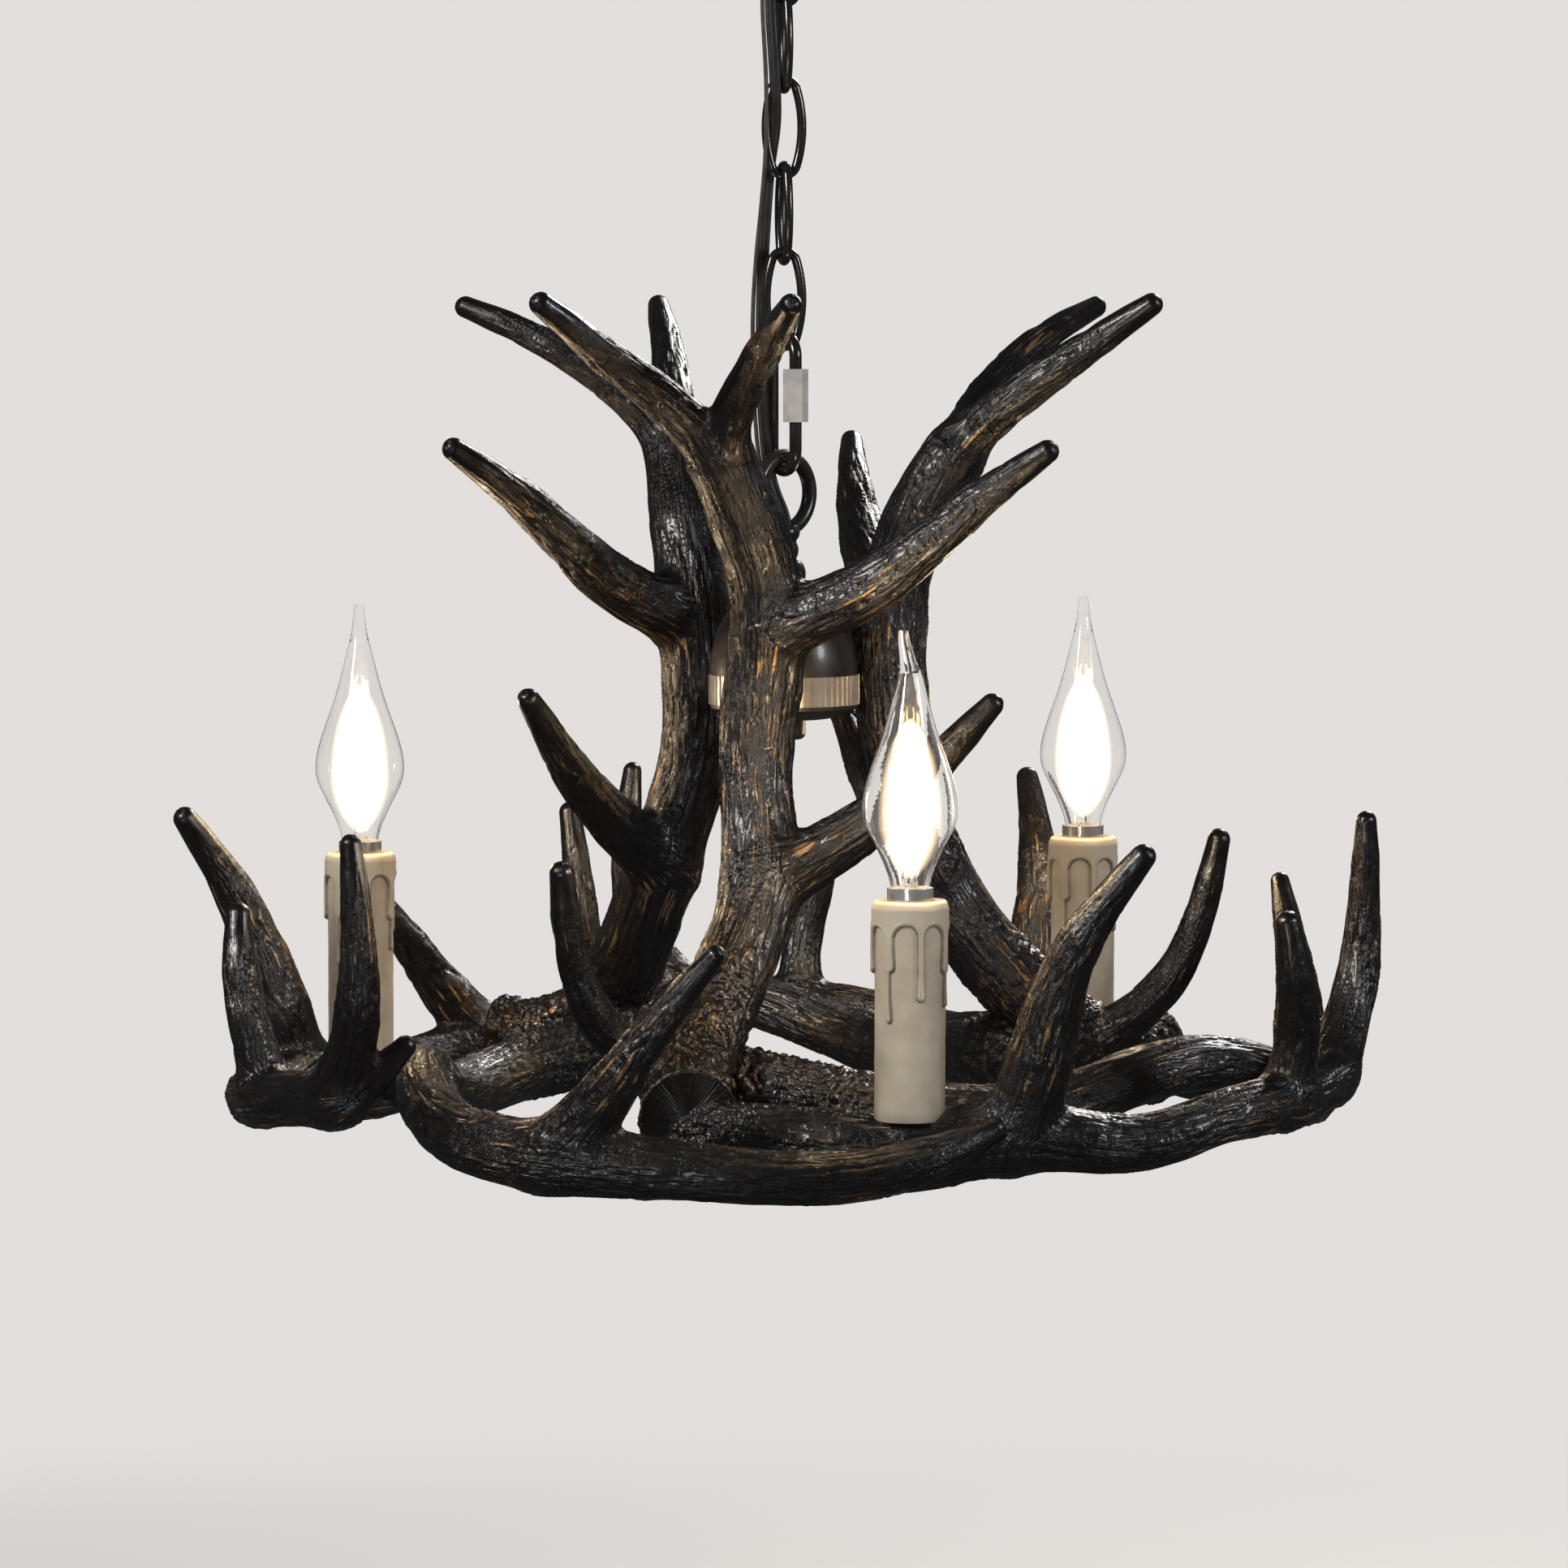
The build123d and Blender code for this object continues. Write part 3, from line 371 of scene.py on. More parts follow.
# %% [markdown]
# ## Finishes
# Every finish is procedural: noise breaks up the colour, the gloss and the surface a little, as
# paint, plating and plastic never are quite even. The antlers' finish reads three values kept on
# their mesh: how far each ridge was rubbed to gold, how rough the skin is, and where a point lies
# along its own stem, so that the streaks follow every bend.

# %% Finishes


class Finish:
    """A material with a few shorthands for its nodes."""

    def __init__(self, name):
        self.material = bpy.data.materials.new(name)
        self.tree = node_tree(self.material)
        self.shader = self.add("ShaderNodeBsdfPrincipled")
        self.end = self.add("ShaderNodeOutputMaterial")
        self.link(self.shader.outputs[0], self.end.inputs[0])
        self.place = self.add("ShaderNodeTexCoord").outputs["Object"]

    def add(self, kind):
        return self.tree.nodes.new(kind)

    def link(self, source, target):
        self.tree.links.new(source, target)

    def noise(self, scale, detail=4.0, stretch=None):
        """Cloudy values from zero to one."""
        node = self.add("ShaderNodeTexNoise")
        node.inputs["Scale"].default_value = scale
        node.inputs["Detail"].default_value = detail
        source = self.place
        if stretch:
            mapping = self.add("ShaderNodeMapping")
            mapping.inputs["Scale"].default_value = stretch
            self.link(source, mapping.inputs["Vector"])
            source = mapping.outputs[0]
        self.link(source, node.inputs["Vector"])
        return node.outputs[0]

    def ramp(self, value, stops):
        """Colours laid along a value."""
        node = self.add("ShaderNodeValToRGB")
        ramp = node.color_ramp
        while len(ramp.elements) < len(stops):
            ramp.elements.new(0.5)
        for element, (where, colour) in zip(ramp.elements, stops):
            element.position = where
            element.color = (*colour, 1)
        self.link(value, node.inputs[0])
        return node.outputs[0]

    def reach(self, value, low, high, start=0.3, end=0.7):
        """A value laid between two others."""
        node = self.add("ShaderNodeMapRange")
        for name, number in zip(("From Min", "From Max", "To Min", "To Max"), (start, end, low, high)):
            node.inputs[name].default_value = number
        self.link(value, node.inputs["Value"])
        return node.outputs[0]

    def kept(self, name):
        """A value kept on the mesh."""
        node = self.add("ShaderNodeAttribute")
        node.attribute_name = name
        return node.outputs["Fac"]

    def math(self, action, first, second):
        node = self.add("ShaderNodeMath")
        node.operation = action
        for socket, value in zip(node.inputs, (first, second)):
            if isinstance(value, (int, float)):
                socket.default_value = value
            else:
                self.link(value, socket)
        return node.outputs[0]

    def bump(self, height, depth, strength=1.0):
        node = self.add("ShaderNodeBump")
        node.inputs["Distance"].default_value = depth
        node.inputs["Strength"].default_value = strength
        self.link(height, node.inputs["Height"])
        self.link(node.outputs[0], self.shader.inputs["Normal"])

    def give(self, socket, value):
        if isinstance(value, (int, float, tuple)):
            self.shader.inputs[socket].default_value = value
        else:
            self.link(value, self.shader.inputs[socket])


def paint(name, dark, light, gloss, grain, metallic=0.0, coat=0.0, depth=0.00008):
    """A painted, plated or moulded surface: two near colours, a gloss range and a fine grain."""
    finish = Finish(name)
    cloud = finish.noise(grain, 5.0)
    finish.give("Base Color", finish.ramp(cloud, [(0.35, dark), (0.65, light)]))
    finish.give("Roughness", finish.reach(finish.noise(grain * 0.6, 3.0), *gloss))
    finish.give("Metallic", metallic)
    finish.give("Coat Weight", coat)
    finish.give("Coat Roughness", 0.12)
    finish.bump(finish.noise(grain * 9, 2.0), depth, 0.5)
    return finish.material


FILAMENT_STRENGTH = 60.0

steel = paint("zinc_steel", (0.42, 0.42, 0.43), (0.62, 0.61, 0.6), (0.28, 0.42), 120, 1.0)
brass = paint("brass", (0.6, 0.42, 0.16), (0.75, 0.56, 0.24), (0.22, 0.36), 160, 1.0)
bright = paint("bright_zinc", (0.66, 0.66, 0.66), (0.86, 0.86, 0.85), (0.16, 0.30), 140, 0.55, depth=0.00004)
satin_black = paint("satin_black", (0.010, 0.009, 0.008), (0.022, 0.020, 0.018), (0.26, 0.4), 130, 0.0, 0.25)
gloss_black = paint("gloss_black", (0.007, 0.007, 0.007), (0.014, 0.013, 0.013), (0.14, 0.24), 110, 0.0, 0.6)
dark_dome = paint("dark_dome_paint", (0.016, 0.013, 0.011), (0.034, 0.028, 0.022), (0.28, 0.42), 120, 0.3, 0.2)
band_bronze = paint("band_bronze", (0.34, 0.31, 0.27), (0.52, 0.48, 0.43), (0.18, 0.3), 60, 0.6)
cord_black = paint("cord_black_sheath", (0.010, 0.010, 0.010), (0.020, 0.019, 0.019), (0.36, 0.5), 200)
earth_sheath = paint("earth_wire_sheath", (0.030, 0.026, 0.022), (0.060, 0.052, 0.044), (0.3, 0.45), 240)
nut_white = paint("wire_nut_cream", (0.62, 0.57, 0.48), (0.75, 0.70, 0.62), (0.35, 0.5), 150)
holder_cream = paint("lampholder_cream", (0.66, 0.62, 0.54), (0.80, 0.76, 0.68), (0.35, 0.5), 150)
lamp_metal = paint("lamp_cap_nickel", (0.58, 0.56, 0.53), (0.78, 0.75, 0.71), (0.14, 0.24), 200, 0.75)


def antler_finish():
    """Near black cast resin, polished on its ridges to a dark gold brown."""
    finish = Finish("antler_resin")
    grain = finish.add("ShaderNodeAttribute")
    grain.attribute_name = "grain"
    finish.place, object_place = grain.outputs["Vector"], finish.place
    lines = finish.noise(1.0, 3.0, (0.95, 0.95, 0.07))
    hairs = finish.noise(1.0, 2.0, (2.1, 2.1, 0.20))
    finish.place = object_place
    cloud = finish.noise(210, 6.0)
    streaks = finish.math("MULTIPLY", finish.reach(lines, 0.25, 1.65, 0.40, 0.62), finish.kept("rub"))
    worn = finish.math("ADD", streaks, finish.reach(cloud, -0.16, 0.16))
    colours = [(0.0, (0.0040, 0.0032, 0.0028)), (0.40, (0.0080, 0.0056, 0.0042)),
               (0.64, (0.055, 0.031, 0.014)), (1.0, (0.36, 0.22, 0.10))]
    finish.give("Base Color", finish.ramp(worn, colours))
    finish.give("Metallic", finish.reach(worn, 0.0, 0.75, 0.4, 0.95))
    finish.give("Roughness", finish.reach(finish.noise(120, 4.0), 0.20, 0.36))
    finish.give("Coat Weight", 0.35)
    finish.give("Coat Roughness", 0.12)
    fine = finish.math("ADD", finish.noise(900, 3.0), finish.math("MULTIPLY", hairs, 1.2))
    relief = finish.math("ADD", finish.math("MULTIPLY", lines, 2.6), fine)
    soft = finish.math("MULTIPLY", relief, finish.kept("rough"))
    finish.bump(soft, 0.00042, 0.8)
    return finish.material


def wax_finish():
    """Ivory paint over moulded drips, with painted shade that browns it along the drip edges and at the foot.
    """
    finish = Finish("candle_wax_paint")
    # painted shade: the value kept on the sleeve darkens the ivory towards brown along the drip edges and at
    # the foot; the noise adds a random tone
    painted_shade = finish.math("ADD", finish.kept("painted_shade"), finish.reach(finish.noise(110, 5.0), -0.16, 0.16))
    colours = [(0.0, (0.44, 0.385, 0.295)), (0.35, (0.35, 0.295, 0.215)), (1.0, (0.10, 0.072, 0.048))]
    finish.give("Base Color", finish.ramp(painted_shade, colours))
    finish.give("Roughness", finish.reach(finish.noise(60, 3.0), 0.42, 0.58))
    finish.give("Subsurface Weight", 0.06)
    finish.give("Subsurface Radius", (0.004, 0.002, 0.001))
    finish.bump(finish.noise(900, 3.0), 0.00012, 0.4)
    return finish.material


def glass_finish():
    """Clear glass whose shadow stays light."""
    finish = Finish("lamp_glass")
    finish.give("Base Color", (0.985, 0.98, 0.97, 1))
    finish.give("Roughness", finish.reach(finish.noise(30, 2.0), 0.0, 0.02))
    finish.give("Transmission Weight", 1.0)
    finish.give("IOR", 1.45)
    clear = finish.add("ShaderNodeBsdfTransparent")
    clear.inputs["Color"].default_value = (0.95, 0.945, 0.93, 1)
    mix = finish.add("ShaderNodeMixShader")
    finish.link(finish.add("ShaderNodeLightPath").outputs["Is Shadow Ray"], mix.inputs[0])
    finish.link(finish.shader.outputs[0], mix.inputs[1])
    finish.link(clear.outputs[0], mix.inputs[2])
    finish.link(mix.outputs[0], finish.end.inputs[0])
    return finish.material


def glow_finish():
    """The lit filament: a warm light, brighter in spots."""
    finish = Finish("lit_filament")
    finish.give("Base Color", (1.0, 0.78, 0.4, 1))
    colours = [(0.3, (1.0, 0.70, 0.36)), (0.7, (1.0, 0.86, 0.6))]
    finish.give("Emission Color", finish.ramp(finish.noise(900, 2.0), colours))
    finish.give("Emission Strength", FILAMENT_STRENGTH)
    return finish.material


def halo_finish():
    """The soft bloom of light that an eye or a camera sees about a lit filament."""
    finish = Finish("lamp_bloom")
    facing = finish.add("ShaderNodeLayerWeight").outputs["Facing"]
    inner = finish.math("SUBTRACT", 1.0, facing)
    core = finish.math("MULTIPLY", finish.math("POWER", inner, 2.6), 1.9)
    grown = finish.math("MULTIPLY", core, finish.reach(finish.noise(40, 2.0), 0.95, 1.05))
    light = finish.add("ShaderNodeEmission")
    colours = [(0.0, (1.0, 0.55, 0.22)), (0.8, (1.0, 0.86, 0.62))]
    finish.link(finish.ramp(inner, colours), light.inputs["Color"])
    finish.link(grown, light.inputs["Strength"])
    clear = finish.add("ShaderNodeBsdfTransparent")
    both = finish.add("ShaderNodeAddShader")
    finish.link(light.outputs[0], both.inputs[0])
    finish.link(clear.outputs[0], both.inputs[1])
    finish.link(both.outputs[0], finish.end.inputs[0])
    finish.tree.nodes.remove(finish.shader)
    return finish.material


antler_resin = antler_finish()
lamp_halo = halo_finish()
wax_paint = wax_finish()
lamp_glass = glass_finish()
filament_glow = glow_finish()
print("finishes", len(bpy.data.materials))

# %% [markdown]
# ## The antlers
# The real chandelier is cast in resin from three moulds, used three times each: an upright with
# its crown, a ring antler that bears a candle, and an outer antler between them. Each mould is a
# few stems. They are swept as round bars, melted into one skin by voxels, and the skin is then
# settled on a soft union of the stems, so each fork gets the web a real antler has. Grooves run
# along every stem, pearls crowd about the burr, and the tips are worn smooth. The same values
# that raise a ridge are kept on the mesh, so the rubbed gold follows the relief.

# %% Antler moulds
SEAT = (175.0, 15.3, 12.0)
STEM_STEP = 1.5
UNION_SOFTNESS = 2.6
VOXEL = 0.75
SETTLE_STEPS = 4
SETTLE_REACH = 2.5
SAWN_FLARE = 3.2
SAWN_FLARE_LENGTH = 7.0
SAWN_REACH = 24
SEAT_RADIUS = 13.6
# sizes of the patterns in millimetres; a groove's last number lies along its stem
GROOVE_SIZE = (2.0, 2.0, 26.0)
PATCH_SIZE = 17.0
PEARL_SIZE = 4.4
SMALL_PEARL_SIZE = 2.6
WORM_SIZE = (3.1, 3.1, 4.6)
WEAR_SIZE = 38.0
STEMS_APART = 170
# how far each pattern lifts the skin, in millimetres
SWELL_LIFT = 0.55
GROOVE_LIFT = 0.62
PEARL_LIFT = 1.15
SMALL_PEARL_LIFT = 0.45
WORM_DEPTH = 0.9
# tips thinner than this are worn smooth, over this stretch from the end
THIN_TIP = 6
TIP_WORN = (4, 34)

uprights = {
    "stems": [
        [(156, -13, 10, 15.5), (125, -17, 18, 15.5), (92, -16, 45, 15), (62, -9, 90, 14.5),
         (48.5, -13, 132, 14), (44.3, -11, 161, 15.2), (46, -8, 197, 14), (66, -20.5, 249, 11.5)],
        [(54, -14, 225, 10.5), (66, -20.5, 249, 9.5), (105, -34, 285, 7.5), (144, -39, 311, 4.5)],
        [(54, -14, 225, 10.5), (66, -19, 249, 9), (100, -6, 288, 7), (146, 1, 310, 4.5)],
        [(46, -6, 186, 12.5), (70, 30, 205, 10.5), (100, 43, 232, 8), (133.5, 48, 255.4, 4.5)],
        [(60, -9, 88, 12.5), (66, 18, 105, 10.5), (84, 38, 130, 8), (104.5, 49.4, 158.6, 4.5)],
        [(125, -19, 18, 9.5), (138, -24, 30, 8.5), (150, -27, 43, 7.5), (171, -28.7, 101, 4.5)],
    ],
    "sawn": True,
    "bark": (28, 110),
}
rings = {
    "stems": [
        [(148, -14, 6, 10), (160, 0, 4, 12), (175, 15.3, 0, 15), (190, 27, 6, 13),
         (205, 39, 2, 10.5), (215, 48.5, 9, 10), (222, 60, 13, 10.5), (220, 72, 18, 10)],
        [(190, 26, 4, 12), (200, 28, 36, 12.5), (212, 29.5, 72, 9), (234, 33.8, 111, 4.5)],
        [(221, 58, 12, 9.5), (227, 58, 38, 8), (229, 56.5, 60, 7), (228, 55.4, 81, 4.5)],
        [(220, 70, 16, 9.5), (226, 76, 48, 8.5), (229, 77, 80, 6.5), (230, 76.4, 113, 4)],
        [(220, 71, 17, 9), (214, 75, 26, 6.5), (206, 77.2, 37, 4)],
    ],
    "sawn": False,
    "bark": (12, 48),
}
outers = {
    "stems": [
        [(87, -137, 15, 15.5), (105, -105, 9, 13), (135, -75, 6, 11.5), (172, -52, 21, 10.5),
         (200, -38, 7, 11.5), (206, -22, 0, 13), (204, -9, -3, 10.5), (202, 6, -5, 9.5),
         (199, 15, 0, 8.5), (197.5, 22.8, 10, 5)],
        [(206, -25, 0, 12), (211, -18, 24, 10), (214, -13.8, 44, 7.5), (220, -6.4, 77.5, 4)],
    ],
    "sawn": False,
    "bark": (30, 85),
}


class Stem:
    """One stem of a mould, sampled closely."""

    def __init__(self, rows, sawn=False):
        rows = np.array([(*spot(d, a, h), r) for d, a, h, r in rows])
        self.path, self.radius = natural_curve(rows, STEM_STEP)
        self.along, self.side, self.up = directions(self.path)
        self.reach = np.concatenate(
            [[0], np.cumsum(np.linalg.norm(np.diff(self.path, axis=0), axis=1))])
        self.sawn = sawn
        if sawn:
            self.radius = self.radius + SAWN_FLARE * np.exp(-(self.reach / SAWN_FLARE_LENGTH) ** 2)

    def mesh(self):
        path, radius = with_ball(self.path[::2], self.radius[::2], both=not self.sawn)
        return bar_mesh(path, radius, circle(20))

    def near(self, points):
        """How far each point is outside the stem, which way is out, how far along, and the turn."""
        squares = (self.path**2).sum(1)[None] - 2 * points @ self.path.T
        k = squares.argmin(1)
        step = ((points - self.path[k]) * self.along[k]).sum(1)
        step = np.clip(step, -STEM_STEP, STEM_STEP)
        step = np.where((k == 0) & (step < 0), 0, step)
        step = np.where((k == len(self.path) - 1) & (step > 0), 0, step)
        out = points - self.path[k] - self.along[k] * step[:, None]
        size = np.linalg.norm(out, axis=1)
        far = self.reach[k] + step
        gap = size - np.interp(far, self.reach, self.radius)
        way = out / np.maximum(size, 1e-9)[:, None]
        if self.sawn:
            beyond = -((points - self.path[0]) @ self.along[0])
            flat = beyond > gap
            gap = np.where(flat, beyond, gap)
            way = np.where(flat[:, None], -self.along[0], way)
        turn = np.arctan2((out * self.up[k]).sum(1), (out * self.side[k]).sum(1))
        return gap, way, far, turn


def union(points, stems):
    """The soft union: distance to the skin, the way out, and each stem's share of every point."""
    found = [stem.near(points) for stem in stems]
    gaps = np.array([item[0] for item in found])
    low = gaps.min(0)
    shares = np.exp(-(gaps - low) / UNION_SOFTNESS)
    total = shares.sum(0)
    gap = low - UNION_SOFTNESS * np.log(total)
    way = unit(sum(share[:, None] * item[1] for share, item in zip(shares, found)))
    return gap, way, shares / total, found


def lattice(points):
    """Smooth noise at each place."""
    return np.array([noise.noise(point) for point in points.tolist()])


def pearls(points):
    """Round beads: one at the middle of a cell, zero at its edge."""
    away = np.array([noise.voronoi(point)[0][0] for point in points.tolist()])
    return np.clip(1 - (away / 0.62) ** 2, 0, 1)


def cast(name, mould):
    """The mesh of one mould, with its relief and the values its finish reads."""
    stems = [Stem(rows, mould["sawn"] and i == 0) for i, rows in enumerate(mould["stems"])]
    rough = mesh_piece(name + "_rough", *together(*[stem.mesh() for stem in stems]))
    melt = rough.modifiers.new("melt", "REMESH")
    melt.mode = "VOXEL"
    melt.voxel_size = VOXEL * MM
    ready = rough.evaluated_get(bpy.context.evaluated_depsgraph_get())
    mesh = bpy.data.meshes.new_from_object(ready)
    bpy.data.objects.remove(rough)
    count = len(mesh.vertices)
    points = np.zeros(count * 3)
    mesh.vertices.foreach_get("co", points)
    points = points.reshape(-1, 3) / MM
    for _ in range(SETTLE_STEPS):
        gap, way, shares, found = union(points, stems)
        points = points - way * np.clip(gap, -SETTLE_REACH, SETTLE_REACH)[:, None]
    gap, way, shares, found = union(points, stems)
    relief, tip, burr = np.zeros(count), np.zeros(count), np.zeros(count)
    grain_place = np.zeros((count, 3))
    for order, (stem, share, item) in enumerate(zip(stems, shares, found)):
        far, turn = item[2], item[3]
        radius = np.interp(far, stem.reach, stem.radius)
        ring_place = np.stack(
            [radius * np.cos(turn), radius * np.sin(turn), far + STEMS_APART * order], axis=1)
        main = share >= shares.max(0)
        grain_place[main] = ring_place[main]
        some = share > 0.02
        coords = ring_place[some] / GROOVE_SIZE
        crease = lattice(coords)
        deep = lattice(coords * (0.5, 0.5, 0.6) + 11.0)
        fine = lattice(coords * (1.9, 1.9, 3.0) + 5.0)
        groove = -0.8 * np.exp(-(crease / 0.13) ** 2) - np.exp(-(deep / 0.09) ** 2)
        relief[some] += share[some] * (groove + 0.5 * crease + 0.35 * fine + 0.35)
        left = stem.reach[-1] - far
        tip += share * (1 - ease(*TIP_WORN, left)) * (stem.radius[-1] < THIN_TIP)
        if order == 0:
            burr += share * (1 - ease(*mould["bark"], far))
    patch = lattice(points / PATCH_SIZE)
    beads = pearls(points / PEARL_SIZE)
    small = pearls(points / SMALL_PEARL_SIZE + 40.0)
    worms = np.exp(-(lattice(points / WORM_SIZE + 9.0) / 0.16) ** 2)
    bark = np.clip(burr * (1.15 + 0.5 * patch), 0, 1)
    grain = ease(0.08, 0.40, patch) * (1 - tip) * 0.5
    first = stems[0]
    sawn = np.zeros(count)
    if mould["sawn"]:
        beyond = (points - first.path[0]) @ first.along[0]
        near = np.linalg.norm(points - first.path[0], axis=1) < SAWN_REACH
        sawn = (1 - ease(0.3, 1.2, beyond)) * near
    swell = SWELL_LIFT * patch
    raised = GROOVE_LIFT * relief * (1 - 0.85 * tip) * (1 - 0.6 * bark)
    bumps = bark * (PEARL_LIFT * beads + SMALL_PEARL_LIFT * small - WORM_DEPTH * worms)
    bumps = bumps + grain * (0.7 * beads - 0.35 * worms)
    points = points + way * ((swell + raised + bumps) * (1 - sawn))[:, None]
    if name.startswith("ring"):
        seat = np.array(spot(*SEAT))
        under = np.linalg.norm(points[:, :2] - seat[:2], axis=1) < SEAT_RADIUS
        points[:, 2] = np.where(under & (points[:, 2] > seat[2]), seat[2], points[:, 2])
    mesh.vertices.foreach_set("co", (points * MM).ravel())
    mesh.update()
    mesh.shade_smooth()
    ridge = ease(-0.25, 0.75, relief) * (1 - bark) + bark * ease(0.25, 0.85, beads) * (1 - 0.7 * worms)
    wear = 0.28 + 0.72 * ease(-0.28, 0.38, lattice(points / WEAR_SIZE + 3.0))
    rub = (0.16 + 0.62 * ridge) * wear * (1 - 0.72 * tip) * (1 - 0.8 * sawn)
    kept = {"rub": np.clip(rub, 0, 1), "rough": (1 - 0.72 * tip) * (1 - 0.4 * sawn)}
    for title, values in kept.items():
        layer = mesh.attributes.new(title, "FLOAT", "POINT")
        layer.data.foreach_set("value", values.astype(np.float32))
    layer = mesh.attributes.new("grain", "FLOAT_VECTOR", "POINT")
    layer.data.foreach_set("vector", grain_place.astype(np.float32).ravel())
    mesh.name = name
    print(name, count, "points, width", np.round(np.ptp(points, axis=0), 1))
    return mesh


for kind, mould in (("upright", uprights), ("ring", rings), ("outer", outers)):
    mould_mesh = cast(kind + "_antler", mould)
    for n in THIRDS:
        turned = mould_mesh.copy()
        turned.transform(Matrix.Rotation(THIRD_TURN * n, 4, "Z"))
        piece = bpy.data.objects.new(f"{kind}_casting_{n + 1}", turned)
        scene.collection.objects.link(piece)
        dress(piece, antler_resin, "chandelier", f"{kind}_antler_{n + 1}")

# %% [markdown]
# ## The candles
# Each lamp stands in a sleeve painted as a candle. The mould gives it a cap of wax with arches
# and a few runs that end in drops. The sleeve is a turned wall whose outside is pushed out by a
# height worked out from the runs, and the same height gives the paint a painted shade: darker
# along the edges of the drips and at the foot, a little lighter where the wax stands out.

# %% Candle sleeves
SLEEVE_RADIUS = 13.0
SLEEVE_BORE = 9.3
SLEEVE_HEIGHT = 81.0
SLEEVE_WALL = 1.2
CAP_THICKNESS = 1.25
# each leg of the cap: angle from the front in degrees, length in mm, half its width at the foot
LEGS = [(-35, 26, 1.9), (16, 36.5, 1.5), (66, 27, 2.0), (118, 33, 1.7), (166, 24, 2.0),
        (-138, 38, 1.6), (-86, 27, 2.0)]
# a thin run that hangs from a leg: angle, where it starts, where it ends, half width of its drop
RUNS = [(-36, 24, 44.5, 1.35), (67, 25, 39, 1.2), (-137, 36, 49, 1.2)]
ARCH_TOP = 9.0
ARCH_ROUND = 4.4
FOOT_ROUND = 1.25
RUN_HALF = 0.75
WAX_STAND = 0.7
EDGE_ROUND = 1.15
RIM_LIFT = 0.34
LIP_ROUND = 1.4
SLEEVE_SIDES = 288
SLEEVE_RINGS = 190
FAR = 1e3


def wax_height(turn, height):
    """How far the wax stands off the sleeve, in millimetres, at each angle and height."""
    below = SLEEVE_HEIGHT - height

    def aside_of(angle):
        aside = (turn - math.radians(angle) + math.pi) % (2 * math.pi) - math.pi
        return (SLEEVE_RADIUS + WAX_STAND) * np.abs(aside)

    legs = np.full_like(turn, FAR)
    for angle, length, half in LEGS:
        foot = FOOT_ROUND * half
        aside, left = aside_of(angle), length - foot - below
        width = half * (1 + 0.25 * np.exp(-(left / 4.0) ** 2))
        legs = np.minimum(legs, np.where(left > 0, aside - width, np.hypot(aside, left) - foot))
    cap = below - (ARCH_TOP - 0.6 * np.sin(turn * 3 + 1))
    corner = np.hypot(np.clip(ARCH_ROUND - legs, 0, None), np.clip(ARCH_ROUND - cap, 0, None))
    edge = np.maximum(ARCH_ROUND, np.minimum(legs, cap)) - corner
    for angle, start, end, drop in RUNS:
        aside, left = aside_of(angle), end - drop - below
        width = RUN_HALF + (drop - RUN_HALF) * np.exp(-(left / 5.0) ** 2)
        run = np.where(left > 0, aside - width, np.hypot(aside, left) - drop)
        edge = np.minimum(edge, np.where(below < start, FAR, run))
    depth = np.clip(-edge, 0, None)
    body = CAP_THICKNESS * np.sqrt(1 - (1 - np.clip(depth / EDGE_ROUND, 0, 1)) ** 2)
    total = body + RIM_LIFT * np.exp(-((depth - 1.0) / 0.75) ** 2) * (depth > 0)
    return total * ease(0.2, 2.5, height)


def sleeve_mesh():
    """The sleeve's closed wall about its own axis, standing on zero, with its painted shade values."""
    rise = np.linspace(0, SLEEVE_HEIGHT - LIP_ROUND, SLEEVE_RINGS)
    lip = np.radians(np.linspace(8, 90, 8))
    outline = [(SLEEVE_RADIUS, z) for z in rise]
    outline += [(SLEEVE_RADIUS - LIP_ROUND + LIP_ROUND * math.cos(a),
                 SLEEVE_HEIGHT - LIP_ROUND + LIP_ROUND * math.sin(a)) for a in lip]
    skin = len(outline)
    inside = SLEEVE_RADIUS - SLEEVE_WALL
    outline += [(SLEEVE_BORE + 0.3, SLEEVE_HEIGHT), (SLEEVE_BORE, SLEEVE_HEIGHT - 0.3)]
    outline += [(SLEEVE_BORE, SLEEVE_HEIGHT - 3), (inside, SLEEVE_HEIGHT - 3), (inside, 0.0)]
    places, faces = turned_mesh(outline, SLEEVE_SIDES)
    radius = np.linalg.norm(places[:, :2], axis=1)
    turn = np.arctan2(places[:, 0], -places[:, 1])
    outer = np.arange(len(places)) < skin * SLEEVE_SIDES
    wax = np.where(outer, wax_height(turn, np.minimum(places[:, 2], SLEEVE_HEIGHT - 1.0)), 0)
    shoulder = 1 - ease(SLEEVE_HEIGHT - 3.6, SLEEVE_HEIGHT, places[:, 2])
    wobble = np.array([noise.noise(p) for p in (places / 9.0).tolist()])
    grow = (wax * (0.25 + 0.75 * shoulder) + 0.12 * wobble * outer) / np.maximum(radius, 1)
    places[:, :2] *= (1 + grow)[:, None]
    places[:, 2] += np.where(outer, 0.35 * wobble * (1 - shoulder), 0)
    # painted shade: darker where the wax height changes along the edges of the drips and runs, darker in the
    # bottom 5 mm where the sleeve meets the antler, a little lighter where the wax stands out
    grid = wax.reshape(-1, SLEEVE_SIDES)
    slope = np.abs(np.roll(grid, 1, 1) - np.roll(grid, -1, 1)) * 0.9
    slope = slope + np.abs(np.gradient(grid, axis=0)) * 1.6
    drip_edge_shade = np.maximum(slope, 0.5 * np.roll(slope, 2, 0)).ravel()
    painted_shade = np.clip(0.16 + 0.62 * drip_edge_shade - 0.10 * wax + 0.3 * (1 - ease(0, 5, places[:, 2])), 0, 1)
    return places, faces, np.where(outer, painted_shade, 0.5)


def seat_place(n):
    """Where candle n stands, in millimetres."""
    return np.array(Matrix.Rotation(THIRD_TURN * n, 3, "Z") @ Vector(spot(*SEAT)))


